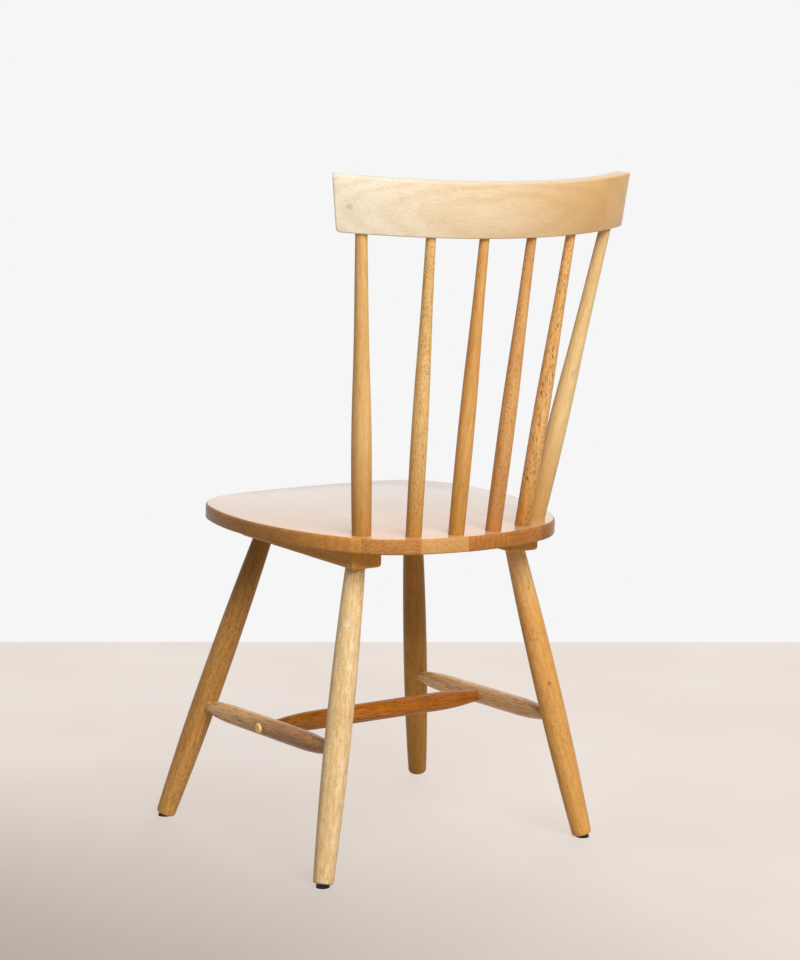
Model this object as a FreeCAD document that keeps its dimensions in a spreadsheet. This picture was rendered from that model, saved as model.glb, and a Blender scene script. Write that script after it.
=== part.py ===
import FreeCAD, Part
import Sketcher
import math
import os

# A spindle-back dining chair in turned hardwood, in millimetres.
# X runs across the chair, with the sitter's left at +X. The sitter faces -Y and +Z is up.
# The origin is on the floor, under the middle of the chair's overall box.
# Reaches are measured forwards or backwards from the datum line, which crosses the chair
# midway between the front and the rear feet. Spreads are measured from the middle plane.

DRIVING_SIZES = (
    ("box_setback", 53.9, "datum line to the middle of the overall depth"),
    ("overrun", 10, "how far a drill or a saw runs past the wood"),
    ("glue_gap", 0.1, "room round a turned end in its socket"),
    ("end_gap", 0.3, "room past a turned end in its socket"),
    ("collar_length", 5, "plain length that a turned end keeps outside its socket"),

    ("seat_height", 450, "top of the seat above the floor, at the datum line"),
    ("seat_slope_angle", 1.5, "degrees by which the seat drops to the back"),
    ("seat_thickness", 20, "thickness of the seat boards"),
    ("seat_half_width", 217.5, "middle plane to the widest place of the seat"),
    ("seat_front_reach", 176.5, "datum line to the front edge"),
    ("seat_back_reach", 256.8, "datum line to the back edge"),
    ("seat_front_radius", 1030, "curve of the front edge"),
    ("seat_corner_radius", 101.6, "curve of the front corners"),
    ("seat_side_radius", 363.5, "curve of the sides"),
    ("seat_shoulder_radius", 117.7, "curve of the back corners"),
    ("seat_back_radius", 305, "curve of the back edge"),
    ("seat_top_round", 3.4, "rounding of the upper edge"),
    ("seat_under_round", 2.4, "rounding of the lower edge"),
    ("board_width", 65, "width of one glued-up seat board"),
    ("board_joint_spread", 24, "middle plane to the nearest glue joint on the left"),

    ("batten_spread", 126, "middle plane to the middle of a batten"),
    ("batten_width", 44, "width of a batten"),
    ("batten_height", 27, "height of a batten"),
    ("batten_front_inset", 73.5, "front edge of the seat to the front end of a batten"),
    ("batten_back_inset", 81.8, "back edge of the seat to the back end of a batten"),
    ("batten_round", 5, "rounding of the lower edges of a batten"),

    ("batten_screw_front_reach", 30, "datum line to the foremost batten screw"),
    ("batten_screw_pitch", 55, "distance between the screws of a batten"),
    ("batten_screw_sink", 10, "depth of the counterbore for a screw head"),
    ("batten_screw_length", 32, "length of a batten screw with its head"),
    ("screw_head_diameter", 8, "diameter of the screw heads"),
    ("screw_head_height", 3, "height of the screw heads"),
    ("screw_shank_diameter", 4, "diameter of the screw shanks"),
    ("screw_point_length", 4, "length of the screw points"),
    ("point_diameter", 0.2, "very tip of the screws and nails"),

    ("foot_lift", 4, "floor to the middle of a leg's square-cut end"),
    ("front_foot_spread", 214.8, "middle plane to a front foot"),
    ("front_foot_reach", 201.9, "datum line to the front feet"),
    ("rear_foot_spread", 209.5, "middle plane to a rear foot"),
    ("rear_foot_reach", 201.9, "datum line to the rear feet"),
    ("front_socket_spread", 123.6, "middle plane to a front leg at the batten"),
    ("front_socket_inset", 17.4, "front end of a batten to a front leg"),
    ("rear_socket_spread", 127.9, "middle plane to a rear leg at the batten"),
    ("rear_socket_inset", 25, "back end of a batten to a rear leg"),
    ("leg_foot_diameter", 26.8, "leg at its foot"),
    ("leg_belly_diameter", 34.2, "leg at its thickest"),
    ("leg_top_diameter", 26.2, "leg in the batten"),
    ("leg_belly_height", 195, "foot to the thickest place, along the leg"),
    ("leg_socket_depth", 21, "leg inside the batten"),
    ("foot_round", 3, "rounding of the end of a foot"),

    ("glide_diameter", 17.5, "nylon glide under a foot"),
    ("nail_diameter", 2.5, "shank of a glide's nail"),
    ("nail_head_diameter", 6, "head of a glide's nail"),
    ("nail_head_height", 1, "thickness of the nail's head"),
    ("nail_head_cover", 1.5, "nylon between the nail's head and the foot"),
    ("nail_length", 16, "nail inside the leg"),

    ("front_joint_height", 163.5, "floor to the side stretcher's joint in a front leg"),
    ("rear_joint_height", 168, "floor to the side stretcher's joint in a rear leg"),
    ("stretcher_diameter", 26, "stretchers along their middle"),
    ("stretcher_end_diameter", 17, "stretchers in their sockets"),
    ("stretcher_taper_length", 60, "length over which a stretcher narrows to its end"),
    ("cross_joint_share", 0.5, "place of the cross stretcher along the side stretchers"),
    ("cross_tip_short", 2, "cross stretcher's end to the side stretcher's middle line"),

    ("plug_head_diameter", 13.5, "button plug over a stretcher screw"),
    ("plug_head_height", 3, "how far the button plug stands out"),
    ("plug_rim_height", 1, "straight rim of the button plug"),
    ("plug_crown_diameter", 7, "flat middle of the button plug"),
    ("plug_stem_diameter", 9, "stem of the button plug"),
    ("plug_stem_length", 3.5, "length of the plug's stem"),
    ("stretcher_screw_length", 48, "length of a stretcher screw with its head"),

    ("crest_radius", 413.7, "curve of the crest rail along its middle"),
    ("crest_thickness", 20, "thickness of the crest rail"),
    ("crest_height", 69.2, "height of the crest rail along its rake"),
    ("crest_upper_half", 226, "middle plane to the upper corners, along the middle"),
    ("crest_flare", 8.8, "how much further out the upper corners are than the lower ones"),
    ("crest_corner_radius", 5, "rounding of the lower corners"),
    ("crest_edge_round", 2, "rounding of the long edges"),
    ("crest_rake_angle", 9, "degrees by which the crest rail leans back"),
    ("crest_overhang", 44.6, "back edge of the seat to the middle of the crest's lower edge"),
    ("crest_level", 824.2, "floor to the middle of the crest's lower edge"),
    ("crest_socket_depth", 22, "spindle inside the crest rail"),

    ("outer_base_spread", 138.8, "middle plane to an outer spindle at the seat"),
    ("outer_base_inset", 76.1, "back edge of the seat to the outer spindles, forwards"),
    ("outer_crest_inset", 35.1, "upper corner of the crest to an outer spindle, across"),
    ("middle_base_spread", 86.5, "middle plane to a middle spindle at the seat"),
    ("middle_base_inset", 35.4, "back edge of the seat to the middle spindles, forwards"),
    ("middle_crest_share", 0.5715, "place of a middle spindle in the crest, between the middle"
     " plane and the outer spindle"),
    ("inner_base_spread", 29.3, "middle plane to an inner spindle at the seat"),
    ("inner_base_inset", 22.4, "back edge of the seat to the inner spindles, forwards"),
    ("inner_crest_share", 0.1928, "place of an inner spindle in the crest, between the middle"
     " plane and the outer spindle"),
    ("seat_socket_depth", 15, "spindle inside the seat"),

    ("thick_base_diameter", 25.2, "outer spindles at the seat"),
    ("thick_belly_diameter", 26.4, "outer spindles at their thickest"),
    ("thick_turn_diameter", 22.6, "outer spindles where the curve turns"),
    ("thick_waist_diameter", 17.9, "outer spindles at the start of the slim end"),
    ("thick_top_diameter", 15.3, "outer spindles in the crest rail"),
    ("thick_belly_height", 90, "seat to the thickest place of the outer spindles"),
    ("thick_turn_height", 198, "seat to the turn of the curve"),
    ("thick_waist_height", 295, "seat to the start of the slim end"),

    ("slim_base_diameter", 20.7, "inner spindles at the seat"),
    ("slim_belly_diameter", 21.3, "inner spindles at their thickest"),
    ("slim_turn_diameter", 18.3, "inner spindles where the curve turns"),
    ("slim_waist_diameter", 14.8, "inner spindles at the start of the slim end"),
    ("slim_top_diameter", 12.5, "inner spindles in the crest rail"),
    ("slim_belly_height", 105, "seat to the thickest place of the inner spindles"),
    ("slim_turn_height", 225, "seat to the turn of the curve"),
    ("slim_waist_height", 300, "seat to the start of the slim end"),
)

# Places worked out from the driving sizes, as formulas of a second sheet.
WORKED_SIZES = (
    ("seat_drop", "=(Sizes.seat_thickness + Sizes.batten_height) / cos(Sizes.seat_slope_angle)"),
    ("batten_front_reach", "=Sizes.seat_front_reach - Sizes.batten_front_inset"),
    ("batten_back_reach", "=Sizes.seat_back_reach - Sizes.batten_back_inset"),
    ("front_socket_reach", "=batten_front_reach - Sizes.front_socket_inset"),
    ("rear_socket_reach", "=batten_back_reach - Sizes.rear_socket_inset"),
    ("front_foot_y", "=-Sizes.front_foot_reach - Sizes.box_setback"),
    ("rear_foot_y", "=Sizes.rear_foot_reach - Sizes.box_setback"),
    ("front_socket_y", "=-front_socket_reach - Sizes.box_setback"),
    ("rear_socket_y", "=rear_socket_reach - Sizes.box_setback"),
    ("front_socket_z", "=Sizes.seat_height - seat_drop"
     " + front_socket_reach * tan(Sizes.seat_slope_angle)"),
    ("rear_socket_z", "=Sizes.seat_height - seat_drop"
     " - rear_socket_reach * tan(Sizes.seat_slope_angle)"),
    ("front_joint_share", "=(Sizes.front_joint_height - Sizes.foot_lift)"
     " / (front_socket_z - Sizes.foot_lift)"),
    ("rear_joint_share", "=(Sizes.rear_joint_height - Sizes.foot_lift)"
     " / (rear_socket_z - Sizes.foot_lift)"),
    ("front_joint_x", "=Sizes.front_foot_spread"
     " + front_joint_share * (Sizes.front_socket_spread - Sizes.front_foot_spread)"),
    ("front_joint_y", "=front_foot_y + front_joint_share * (front_socket_y - front_foot_y)"),
    ("rear_joint_x", "=Sizes.rear_foot_spread"
     " + rear_joint_share * (Sizes.rear_socket_spread - Sizes.rear_foot_spread)"),
    ("rear_joint_y", "=rear_foot_y + rear_joint_share * (rear_socket_y - rear_foot_y)"),
    ("crest_reach", "=Sizes.seat_back_reach + Sizes.crest_overhang"),
    ("outer_base_reach", "=Sizes.seat_back_reach - Sizes.outer_base_inset"),
    ("middle_base_reach", "=Sizes.seat_back_reach - Sizes.middle_base_inset"),
    ("inner_base_reach", "=Sizes.seat_back_reach - Sizes.inner_base_inset"),
    ("outer_crest_spread", "=Sizes.crest_upper_half - Sizes.outer_crest_inset"),
    ("middle_crest_spread", "=outer_crest_spread * Sizes.middle_crest_share"),
    ("inner_crest_spread", "=outer_crest_spread * Sizes.inner_crest_share"),
    ("cross_x", "=front_joint_x + Sizes.cross_joint_share * (rear_joint_x - front_joint_x)"),
    ("cross_y", "=front_joint_y + Sizes.cross_joint_share * (rear_joint_y - front_joint_y)"),
    ("cross_z", "=Sizes.front_joint_height"
     " + Sizes.cross_joint_share * (Sizes.rear_joint_height - Sizes.front_joint_height)"),
)

# What each pair of spindles is worked out from: its place, then its turning.
SPINDLE_PAIRS = (("outer", "thick"), ("middle", "slim"), ("inner", "slim"))
SIDES = (("left", 1), ("right", -1))
BATTEN_SCREWS = 3
# How near to a level an edge lies to count as being on it, as a share of the height.
LEVEL_SHARE = 0.01

doc = FreeCAD.newDocument("dining_chair")
sub_parts = []


def fill_sheet(name, rows):
    """Makes a sheet with one named cell for each row, and notes beside them."""
    sheet = doc.addObject("Spreadsheet::Sheet", name)
    for row, (alias, content, *note) in enumerate(rows, start=1):
        sheet.set(f"A{row}", alias)
        sheet.set(f"B{row}", str(content))
        sheet.setAlias(f"B{row}", alias)
        if note:
            sheet.set(f"C{row}", note[0])
    doc.recompute()
    return sheet


sizes = fill_sheet("Sizes", DRIVING_SIZES)
worked = fill_sheet("Worked", WORKED_SIZES)


def bind(thing, **formulas):
    """Ties properties of an object to formulas of the sheets."""
    for prop, formula in formulas.items():
        thing.setExpression(prop, formula)


def keep(thing, label):
    """Labels a finished sub-part and puts it on the list that is written out."""
    thing.Label = label
    sub_parts.append(thing)
    return thing


def lay_along(thing, start, finish):
    """Places an object with its Z axis from one point to another, both given as formulas."""
    (x0, y0, z0), (x1, y1, z1) = start, finish
    run_x, run_y, rise = f"({x1} - {x0})", f"({y1} - {y0})", f"({z1} - {z0})"
    lean = f"atan2(hypot({run_x}; {run_y}); {rise})"
    turn = f"rotation(vector(-{run_y}; {run_x}; 0); {lean})"
    bind(thing, Placement=f"placement(vector({x0}; {y0}; {z0}); {turn})")


def length_between(start, finish):
    """Formula for the distance between two points given as formulas."""
    squares = " + ".join(f"(({b}) - ({a}))^2" for a, b in zip(start, finish))
    return f"sqrt({squares})"


def ride_on(thing, carrier, x="0", y="0", z="0"):
    """Places an object in the frame of another, shifted by formulas."""
    shift = f"{carrier.Name}.Placement * vector({x}; {y}; {z})"
    bind(thing, Placement=f"placement({shift}; {carrier.Name}.Placement.Rotation)")


def drill(name, carrier, diameter, start, finish):
    """A cylinder on the Z axis of a carrier, between two heights, to bore a hole with."""
    tool = doc.addObject("Part::Cylinder", name)
    bind(tool, Radius=f"({diameter}) / 2", Height=f"({finish}) - ({start})")
    ride_on(tool, carrier, z=start)
    return tool


def cut_away(base, tools, label):
    """Cuts a list of tools out of a base and keeps the result as a sub-part."""
    tool = tools[0]
    if len(tools) > 1:
        tool = doc.addObject("Part::Compound", f"{label}_drilling")
        tool.Links = tools
    result = doc.addObject("Part::Cut", f"{label}_cut")
    result.Base = base
    result.Tool = tool
    return keep(result, label)


def origin_plane(body, role):
    """One of a body's own origin planes or axes."""
    return next(item for item in body.Origin.OriginFeatures if item.Role == role)


def new_sketch(body, role, name):
    """A sketch on one of a body's own origin planes."""
    sketch = body.newObject("Sketcher::SketchObject", name)
    sketch.AttachmentSupport = (origin_plane(body, role), "")
    sketch.MapMode = "FlatFace"
    return sketch


def value(formula):
    """Present value of a formula of the sheets, to start a sketch near its final shape."""
    result = sizes.evalExpression(formula)
    return float(getattr(result, "Value", result))


def hold_point(sketch, geometry, end, across, up):
    """Ties a point of a sketch to two formulas, its distances from the two axes."""
    for kind, formula, axis in (("DistanceX", across, -2), ("DistanceY", up, -1)):
        if formula == "0":
            sketch.addConstraint(Sketcher.Constraint("PointOnObject", geometry, end, axis))
            continue
        number = sketch.addConstraint(
            Sketcher.Constraint(kind, -1, 1, geometry, end, value(formula)))
        sketch.setExpression(f"Constraints[{number}]", formula)


def turned_body(name, stations):
    """Revolves a half outline. Each station is a radius, a height and what leads on to the
    next one: a line, or an arc that stands upright at its low or high end or follows on
    smoothly from the arc before it."""
    body = doc.addObject("PartDesign::Body", name)
    sketch = new_sketch(body, "XZ_Plane", f"{name}_outline")
    points = [FreeCAD.Vector(value(radius), value(height), 0) for radius, height, _ in stations]
    joints = [(FreeCAD.Vector(0, points[0].y, 0), ("0", stations[0][1]))]
    joints += [(point, (radius, height)) for point, (radius, height, _) in zip(points, stations)]
    joints += [(FreeCAD.Vector(0, points[-1].y, 0), ("0", stations[-1][1]))]
    leads = ["line"] + [lead for _, _, lead in stations]
    tangent = None
    ends = []
    for (first, _), (second, _), lead in zip(joints, joints[1:], leads):
        chord = second - first
        if lead == "line":
            number = sketch.addGeometry(Part.LineSegment(first, second))
            tangent = chord
            ends.append((number, 1, 2))
            continue
        # The centre is level with the end where the outline stands upright,
        # or lies square to the arc before it where that arc ends.
        middle = (first + second) * 0.5
        across = FreeCAD.Vector(-chord.y, chord.x, 0)
        if lead == "smooth":
            pivot, ray = first, FreeCAD.Vector(-tangent.y, tangent.x, 0)
        else:
            pivot, ray = (first if lead == "upright_low" else second), FreeCAD.Vector(1, 0, 0)
        reach = (middle - pivot).dot(chord) / ray.dot(chord)
        centre = pivot + ray * reach
        radius = (first - centre).Length
        sweep = (first - centre).cross(second - centre).z
        start, stop = (first, second) if sweep > 0 else (second, first)
        angles = [math.atan2((end - centre).y, (end - centre).x) for end in (start, stop)]
        circle = Part.Circle(centre, FreeCAD.Vector(0, 0, 1), radius)
        number = sketch.addGeometry(Part.ArcOfCircle(circle, *angles))
        ends.append((number, 1, 2) if sweep > 0 else (number, 2, 1))
        tangent = FreeCAD.Vector(centre.y - second.y, second.x - centre.x, 0)
        if tangent.dot(chord) < 0:
            tangent = tangent * -1
        if lead == "smooth":
            earlier = ends[-2]
            sketch.addConstraint(Sketcher.Constraint(
                "Tangent", earlier[0], earlier[2], number, ends[-1][1]))
        else:
            level = ends[-1][1] if lead == "upright_low" else ends[-1][2]
            sketch.addConstraint(Sketcher.Constraint("Horizontal", number, 3, number, level))
    closing = sketch.addGeometry(Part.LineSegment(joints[-1][0], joints[0][0]))
    ends.append((closing, 1, 2))
    for here, after in zip(ends, ends[1:] + ends[:1]):
        joined_smoothly = after[0] < len(leads) and leads[after[0]] == "smooth"
        if not joined_smoothly:
            sketch.addConstraint(Sketcher.Constraint(
                "Coincident", here[0], here[2], after[0], after[1]))
    for (number, low, _), (_, (radius, height)) in zip(ends, joints):
        hold_point(sketch, number, low, radius, height)
    turning = body.newObject("PartDesign::Revolution", f"{name}_turning")
    turning.Profile = sketch
    turning.ReferenceAxis = (sketch, ["V_Axis"])
    turning.Angle = 360
    return body


# Seat: edge-glued boards, cut to one outline and drilled for the spindles.

def seat_outline(sketch):
    """Outline of the seat: five arcs that run into each other, mirrored about the middle."""
    half = value("Sizes.seat_half_width")
    front = value("Sizes.seat_front_reach")
    back = value("Sizes.seat_back_reach")
    names = ("front", "corner", "side", "shoulder", "back")
    radius = {name: value(f"Sizes.seat_{name}_radius") for name in names}
    centre = {
        "front": FreeCAD.Vector(0, radius["front"] - front, 0),
        "side": FreeCAD.Vector(half - radius["side"], 0, 0),
        "back": FreeCAD.Vector(0, back - radius["back"], 0),
    }

    def nested(name, outer_a, outer_b):
        """Centre of a small arc that touches two large ones from the inside."""
        reach_a = radius[outer_a] - radius[name]
        reach_b = radius[outer_b] - radius[name]
        between = centre[outer_b] - centre[outer_a]
        gap = between.Length
        along = (reach_a ** 2 - reach_b ** 2 + gap ** 2) / (2 * gap)
        off = math.sqrt(reach_a ** 2 - along ** 2)
        normal = FreeCAD.Vector(-between.y, between.x, 0)
        return centre[outer_a] + between * (along / gap) + normal * (off / gap)

    centre["corner"] = nested("corner", "front", "side")
    centre["shoulder"] = nested("shoulder", "side", "back")

    def touch(large, small):
        """Where a small arc runs into a large one."""
        ray = centre[small] - centre[large]
        return centre[large] + ray * (radius[large] / ray.Length)

    right = [
        ("side", touch("side", "corner"), touch("side", "shoulder")),
        ("shoulder", touch("side", "shoulder"), touch("back", "shoulder")),
    ]
    back_touch = touch("back", "shoulder")
    front_touch = touch("front", "corner")

    def flip(point):
        return FreeCAD.Vector(-point.x, point.y, 0)

    runs = right + [("back", back_touch, flip(back_touch))]
    runs += [(name, flip(stop), flip(start)) for name, start, stop in reversed(right)]
    runs += [
        ("corner", flip(touch("side", "corner")), flip(front_touch)),
        ("front", flip(front_touch), front_touch),
        ("corner", front_touch, touch("side", "corner")),
    ]
    arcs = {}
    for name, start, stop in runs:
        mirrored = name in ("side", "shoulder", "corner") and (start + stop).x < 0
        middle = flip(centre[name]) if mirrored else centre[name]
        angles = [math.atan2((end - middle).y, (end - middle).x) for end in (start, stop)]
        circle = Part.Circle(middle, FreeCAD.Vector(0, 0, 1), radius[name])
        number = sketch.addGeometry(Part.ArcOfCircle(circle, *angles))
        arcs.setdefault(name, []).append(number)
    total = len(runs)
    for number in range(total):
        sketch.addConstraint(Sketcher.Constraint("Tangent", number, 2, (number + 1) % total, 1))
    for name, numbers in arcs.items():
        held = sketch.addConstraint(Sketcher.Constraint("Radius", numbers[0], radius[name]))
        sketch.setExpression(f"Constraints[{held}]", f"Sizes.seat_{name}_radius")
        if len(numbers) > 1:
            sketch.addConstraint(Sketcher.Constraint("Equal", numbers[0], numbers[1]))
    hold_point(sketch, arcs["front"][0], 3, "0", "Sizes.seat_front_radius - Sizes.seat_front_reach")
    hold_point(sketch, arcs["back"][0], 3, "0", "Sizes.seat_back_reach - Sizes.seat_back_radius")
    hold_point(sketch, arcs["side"][0], 3, "Sizes.seat_half_width - Sizes.seat_side_radius", "0")
    hold_point(sketch, arcs["side"][1], 3, "Sizes.seat_side_radius - Sizes.seat_half_width", "0")


def rim(feature, height):
    """Names of the edges of a feature that lie all round at one height."""
    names = []
    for number, edge in enumerate(feature.Shape.Edges, start=1):
        box = edge.BoundBox
        level = abs(box.ZMax - height) + abs(box.ZMin - height)
        if level < feature.Shape.BoundBox.ZLength * LEVEL_SHARE:
            names.append(f"Edge{number}")
    return names


seat_blank = doc.addObject("PartDesign::Body", "seat_blank")
bind(seat_blank, Placement="placement(vector(0; -Sizes.box_setback; Sizes.seat_height);"
     " rotation(vector(1; 0; 0); -Sizes.seat_slope_angle))")
outline = new_sketch(seat_blank, "XY_Plane", "seat_blank_outline")
seat_outline(outline)
slab = seat_blank.newObject("PartDesign::Pad", "seat_blank_slab")
slab.Profile = outline
slab.Reversed = True
bind(slab, Length="Sizes.seat_thickness")
doc.recompute()
for side, level, size in (("top", 0, "Sizes.seat_top_round"),
                          ("under", -sizes.seat_thickness, "Sizes.seat_under_round")):
    below = seat_blank.Tip
    softened = seat_blank.newObject("PartDesign::Fillet", f"seat_blank_{side}_edge")
    softened.Base = (below, rim(below, level))
    bind(softened, Radius=size)
    doc.recompute()


# Spindles: turned, thicker at the seat, in drilled sockets at both ends.

def crest_place(spread, up):
    """Point inside the crest rail at a given spread and height up its rake, as formulas."""
    back_off = f"(Sizes.crest_radius - sqrt(Sizes.crest_radius^2 - ({spread})^2))"
    rake = "Sizes.crest_rake_angle"
    return (
        spread,
        f"(Worked.crest_reach - Sizes.box_setback - {back_off} * cos({rake}) + ({up}) * sin({rake}))",
        f"(Sizes.crest_level + {back_off} * sin({rake}) + ({up}) * cos({rake}))",
    )


def seat_place(spread, reach):
    """Point on the top of the seat at a given spread and reach, as formulas."""
    return (
        spread,
        f"({reach} - Sizes.box_setback)",
        f"(Sizes.seat_height - {reach} * tan(Sizes.seat_slope_angle))",
    )


def mirrored(place, side):
    """The same point on the left or right of the chair."""
    return (place[0] if side > 0 else f"-{place[0]}", place[1], place[2])


seat_drills = []
crest_drills = []
for pair, turning in SPINDLE_PAIRS:
    base = seat_place(f"Sizes.{pair}_base_spread", f"Worked.{pair}_base_reach")
    aim = crest_place(f"Worked.{pair}_crest_spread", "Sizes.crest_socket_depth / 2")
    whole = length_between(base, aim)
    tip = f"({whole} + Sizes.crest_socket_depth / 2)"
    rail = f"({whole} - Sizes.crest_socket_depth / 2)"
    for side_name, side in SIDES:
        name = f"{side_name}_{pair}_spindle"
        size = {part: f"Sizes.{turning}_{part}_diameter / 2"
                for part in ("base", "belly", "turn", "waist", "top")}
        spindle = turned_body(name, (
            (size["base"], "-Sizes.seat_socket_depth", "line"),
            (size["base"], "Sizes.collar_length", "upright_high"),
            (size["belly"], f"Sizes.{turning}_belly_height", "upright_low"),
            (size["turn"], f"Sizes.{turning}_turn_height", "smooth"),
            (size["waist"], f"Sizes.{turning}_waist_height", "line"),
            (size["top"], f"{rail} - Sizes.collar_length", "line"),
            (size["top"], tip, "line"),
        ))
        lay_along(spindle, mirrored(base, side), mirrored(aim, side))
        keep(spindle, name)
        seat_drills.append(drill(
            f"{name}_seat_bore", spindle, f"Sizes.{turning}_base_diameter + 2 * Sizes.glue_gap",
            "-Sizes.seat_socket_depth - Sizes.end_gap", "Sizes.overrun"))
        crest_drills.append(drill(
            f"{name}_crest_bore", spindle, f"Sizes.{turning}_top_diameter + 2 * Sizes.glue_gap",
            f"{rail} - Sizes.overrun", f"{tip} + Sizes.end_gap"))


# Crest rail: a curved board that leans back, with flared ends.

crest = doc.addObject("PartDesign::Body", "crest_blank")
bind(crest, Placement="placement("
     "vector(0; Worked.crest_reach - Sizes.box_setback; Sizes.crest_level);"
     " rotation(vector(1; 0; 0); -Sizes.crest_rake_angle))")
half_angle = "asin(Sizes.crest_upper_half / Sizes.crest_radius)"


def crest_plan(sketch):
    """The bent board seen from above: two arcs about one centre, and its two ends."""
    centre = FreeCAD.Vector(0, -value("Sizes.crest_radius"), 0)
    lean = math.radians(value(half_angle))
    circles = []
    for sign in (1, -1):
        reach = f"Sizes.crest_radius + {sign} * Sizes.crest_thickness / 2"
        circle = Part.Circle(centre, FreeCAD.Vector(0, 0, 1), value(reach))
        quarter = math.pi / 2
        number = sketch.addGeometry(Part.ArcOfCircle(circle, quarter - lean, quarter + lean))
        held = sketch.addConstraint(Sketcher.Constraint("Radius", number, value(reach)))
        sketch.setExpression(f"Constraints[{held}]", reach)
        circles.append(number)
    back, front = circles
    hold_point(sketch, back, 3, "0", "-Sizes.crest_radius")
    sketch.addConstraint(Sketcher.Constraint("Coincident", back, 3, front, 3))
    arcs = [sketch.Geometry[number] for number in circles]
    ends = []
    for end, corner in ((1, "StartPoint"), (2, "EndPoint")):
        outer, inner = (getattr(arc, corner) for arc in arcs)
        line = sketch.addGeometry(Part.LineSegment(outer, inner))
        sketch.addConstraint(Sketcher.Constraint("Coincident", back, end, line, 1))
        sketch.addConstraint(Sketcher.Constraint("Coincident", front, end, line, 2))
        sketch.addConstraint(Sketcher.Constraint("PointOnObject", front, 3, line))
        ends.append(line)
    sketch.addConstraint(Sketcher.Constraint("Symmetric", back, 1, back, 2, -2))
    spread = "(Sizes.crest_radius + Sizes.crest_thickness / 2) * sin(" + half_angle + ")"
    held = sketch.addConstraint(
        Sketcher.Constraint("DistanceX", -1, 1, back, 1, value(spread)))
    sketch.setExpression(f"Constraints[{held}]", spread)


crest_outline = new_sketch(crest, "XY_Plane", "crest_blank_plan")
crest_plan(crest_outline)
crest_board = crest.newObject("PartDesign::Pad", "crest_blank_board")
crest_board.Profile = crest_outline
bind(crest_board, Length="Sizes.crest_height")
doc.recompute()


def flat_faces(feature, wanted):
    """Names of the flat faces of a feature whose outward direction passes a test."""
    return [f"Face{number}" for number, face in enumerate(feature.Shape.Faces, start=1)
            if isinstance(face.Surface, Part.Plane) and wanted(face.normalAt(0, 0))]


# The ends lean in towards the lower edge, so the board flares upwards.
crest_flare = crest.newObject("PartDesign::Draft", "crest_blank_flare")
crest_flare.Base = (crest_board, flat_faces(crest_board, lambda way: abs(way.x) > abs(way.z)))
crest_flare.NeutralPlane = (crest_board, flat_faces(crest_board, lambda way: way.z > abs(way.x)))
bind(crest_flare,
     Angle=f"atan(Sizes.crest_flare / (Sizes.crest_height * cos({half_angle})))")
doc.recompute()
if crest_flare.Shape.Volume > crest_board.Shape.Volume:
    crest_flare.Reversed = True
    doc.recompute()


def low_corner_edges(feature):
    """Names of the two short edges at the lower corners of the crest rail."""
    names = []
    box = feature.Shape.BoundBox
    nearest = sizes.crest_upper_half - sizes.crest_flare - sizes.crest_thickness
    for number, edge in enumerate(feature.Shape.Edges, start=1):
        flat = edge.BoundBox.ZMax - box.ZMin < box.ZLength * LEVEL_SHARE
        outermost = abs(edge.BoundBox.Center.x) > nearest
        if flat and outermost:
            names.append(f"Edge{number}")
    return names


crest_corners = crest.newObject("PartDesign::Fillet", "crest_blank_corners")
crest_corners.Base = (crest_flare, low_corner_edges(crest_flare))
bind(crest_corners, Radius="Sizes.crest_corner_radius")
doc.recompute()
crest_edges = crest.newObject("PartDesign::Fillet", "crest_blank_edges")
crest_edges.Base = (crest_corners, [
    f"Edge{number + 1}" for number in range(len(crest_corners.Shape.Edges))])
bind(crest_edges, Radius="Sizes.crest_edge_round")
doc.recompute()
cut_away(crest, crest_drills, "crest_rail")


# Legs: turned with a belly, their tops in the battens, square-cut at the feet.

legs = {}
leg_drills = {}
batten_drills = {side_name: [] for side_name, _ in SIDES}
for end in ("front", "rear"):
    foot = (f"Sizes.{end}_foot_spread", f"Worked.{end}_foot_y", "Sizes.foot_lift")
    socket = (f"Sizes.{end}_socket_spread", f"Worked.{end}_socket_y", f"Worked.{end}_socket_z")
    whole = length_between(foot, socket)
    for side_name, side in SIDES:
        name = f"{side_name}_{end}_leg"
        leg = turned_body(f"{name}_blank", (
            ("Sizes.leg_foot_diameter / 2 - Sizes.foot_round", "0", "upright_high"),
            ("Sizes.leg_foot_diameter / 2", "Sizes.foot_round", "upright_high"),
            ("Sizes.leg_belly_diameter / 2", "Sizes.leg_belly_height", "upright_low"),
            ("Sizes.leg_top_diameter / 2", f"{whole} - Sizes.collar_length", "line"),
            ("Sizes.leg_top_diameter / 2", f"{whole} + Sizes.leg_socket_depth", "line"),
        ))
        lay_along(leg, mirrored(foot, side), mirrored(socket, side))
        legs[side_name, end] = leg
        leg_drills[side_name, end] = []
        batten_drills[side_name].append(drill(
            f"{name}_socket", leg, "Sizes.leg_top_diameter + 2 * Sizes.glue_gap",
            f"{whole} - Sizes.overrun", f"{whole} + Sizes.leg_socket_depth + Sizes.end_gap"))


# Stretchers: one from front to back on each side, and one across between them.

def stretcher_stations(whole, tenon):
    """Half outline of a stretcher: plain middle, bullet-shaped ends, plain tenons."""
    thick, thin = "Sizes.stretcher_diameter / 2", "Sizes.stretcher_end_diameter / 2"
    near, taper = f"({tenon} + Sizes.collar_length)", "Sizes.stretcher_taper_length"
    return (
        (thin, "0", "line"),
        (thin, near, "upright_high"),
        (thick, f"{near} + {taper}", "line"),
        (thick, f"{whole} - {near} - {taper}", "upright_low"),
        (thin, f"{whole} - {near}", "line"),
        (thin, whole, "line"),
    )


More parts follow.
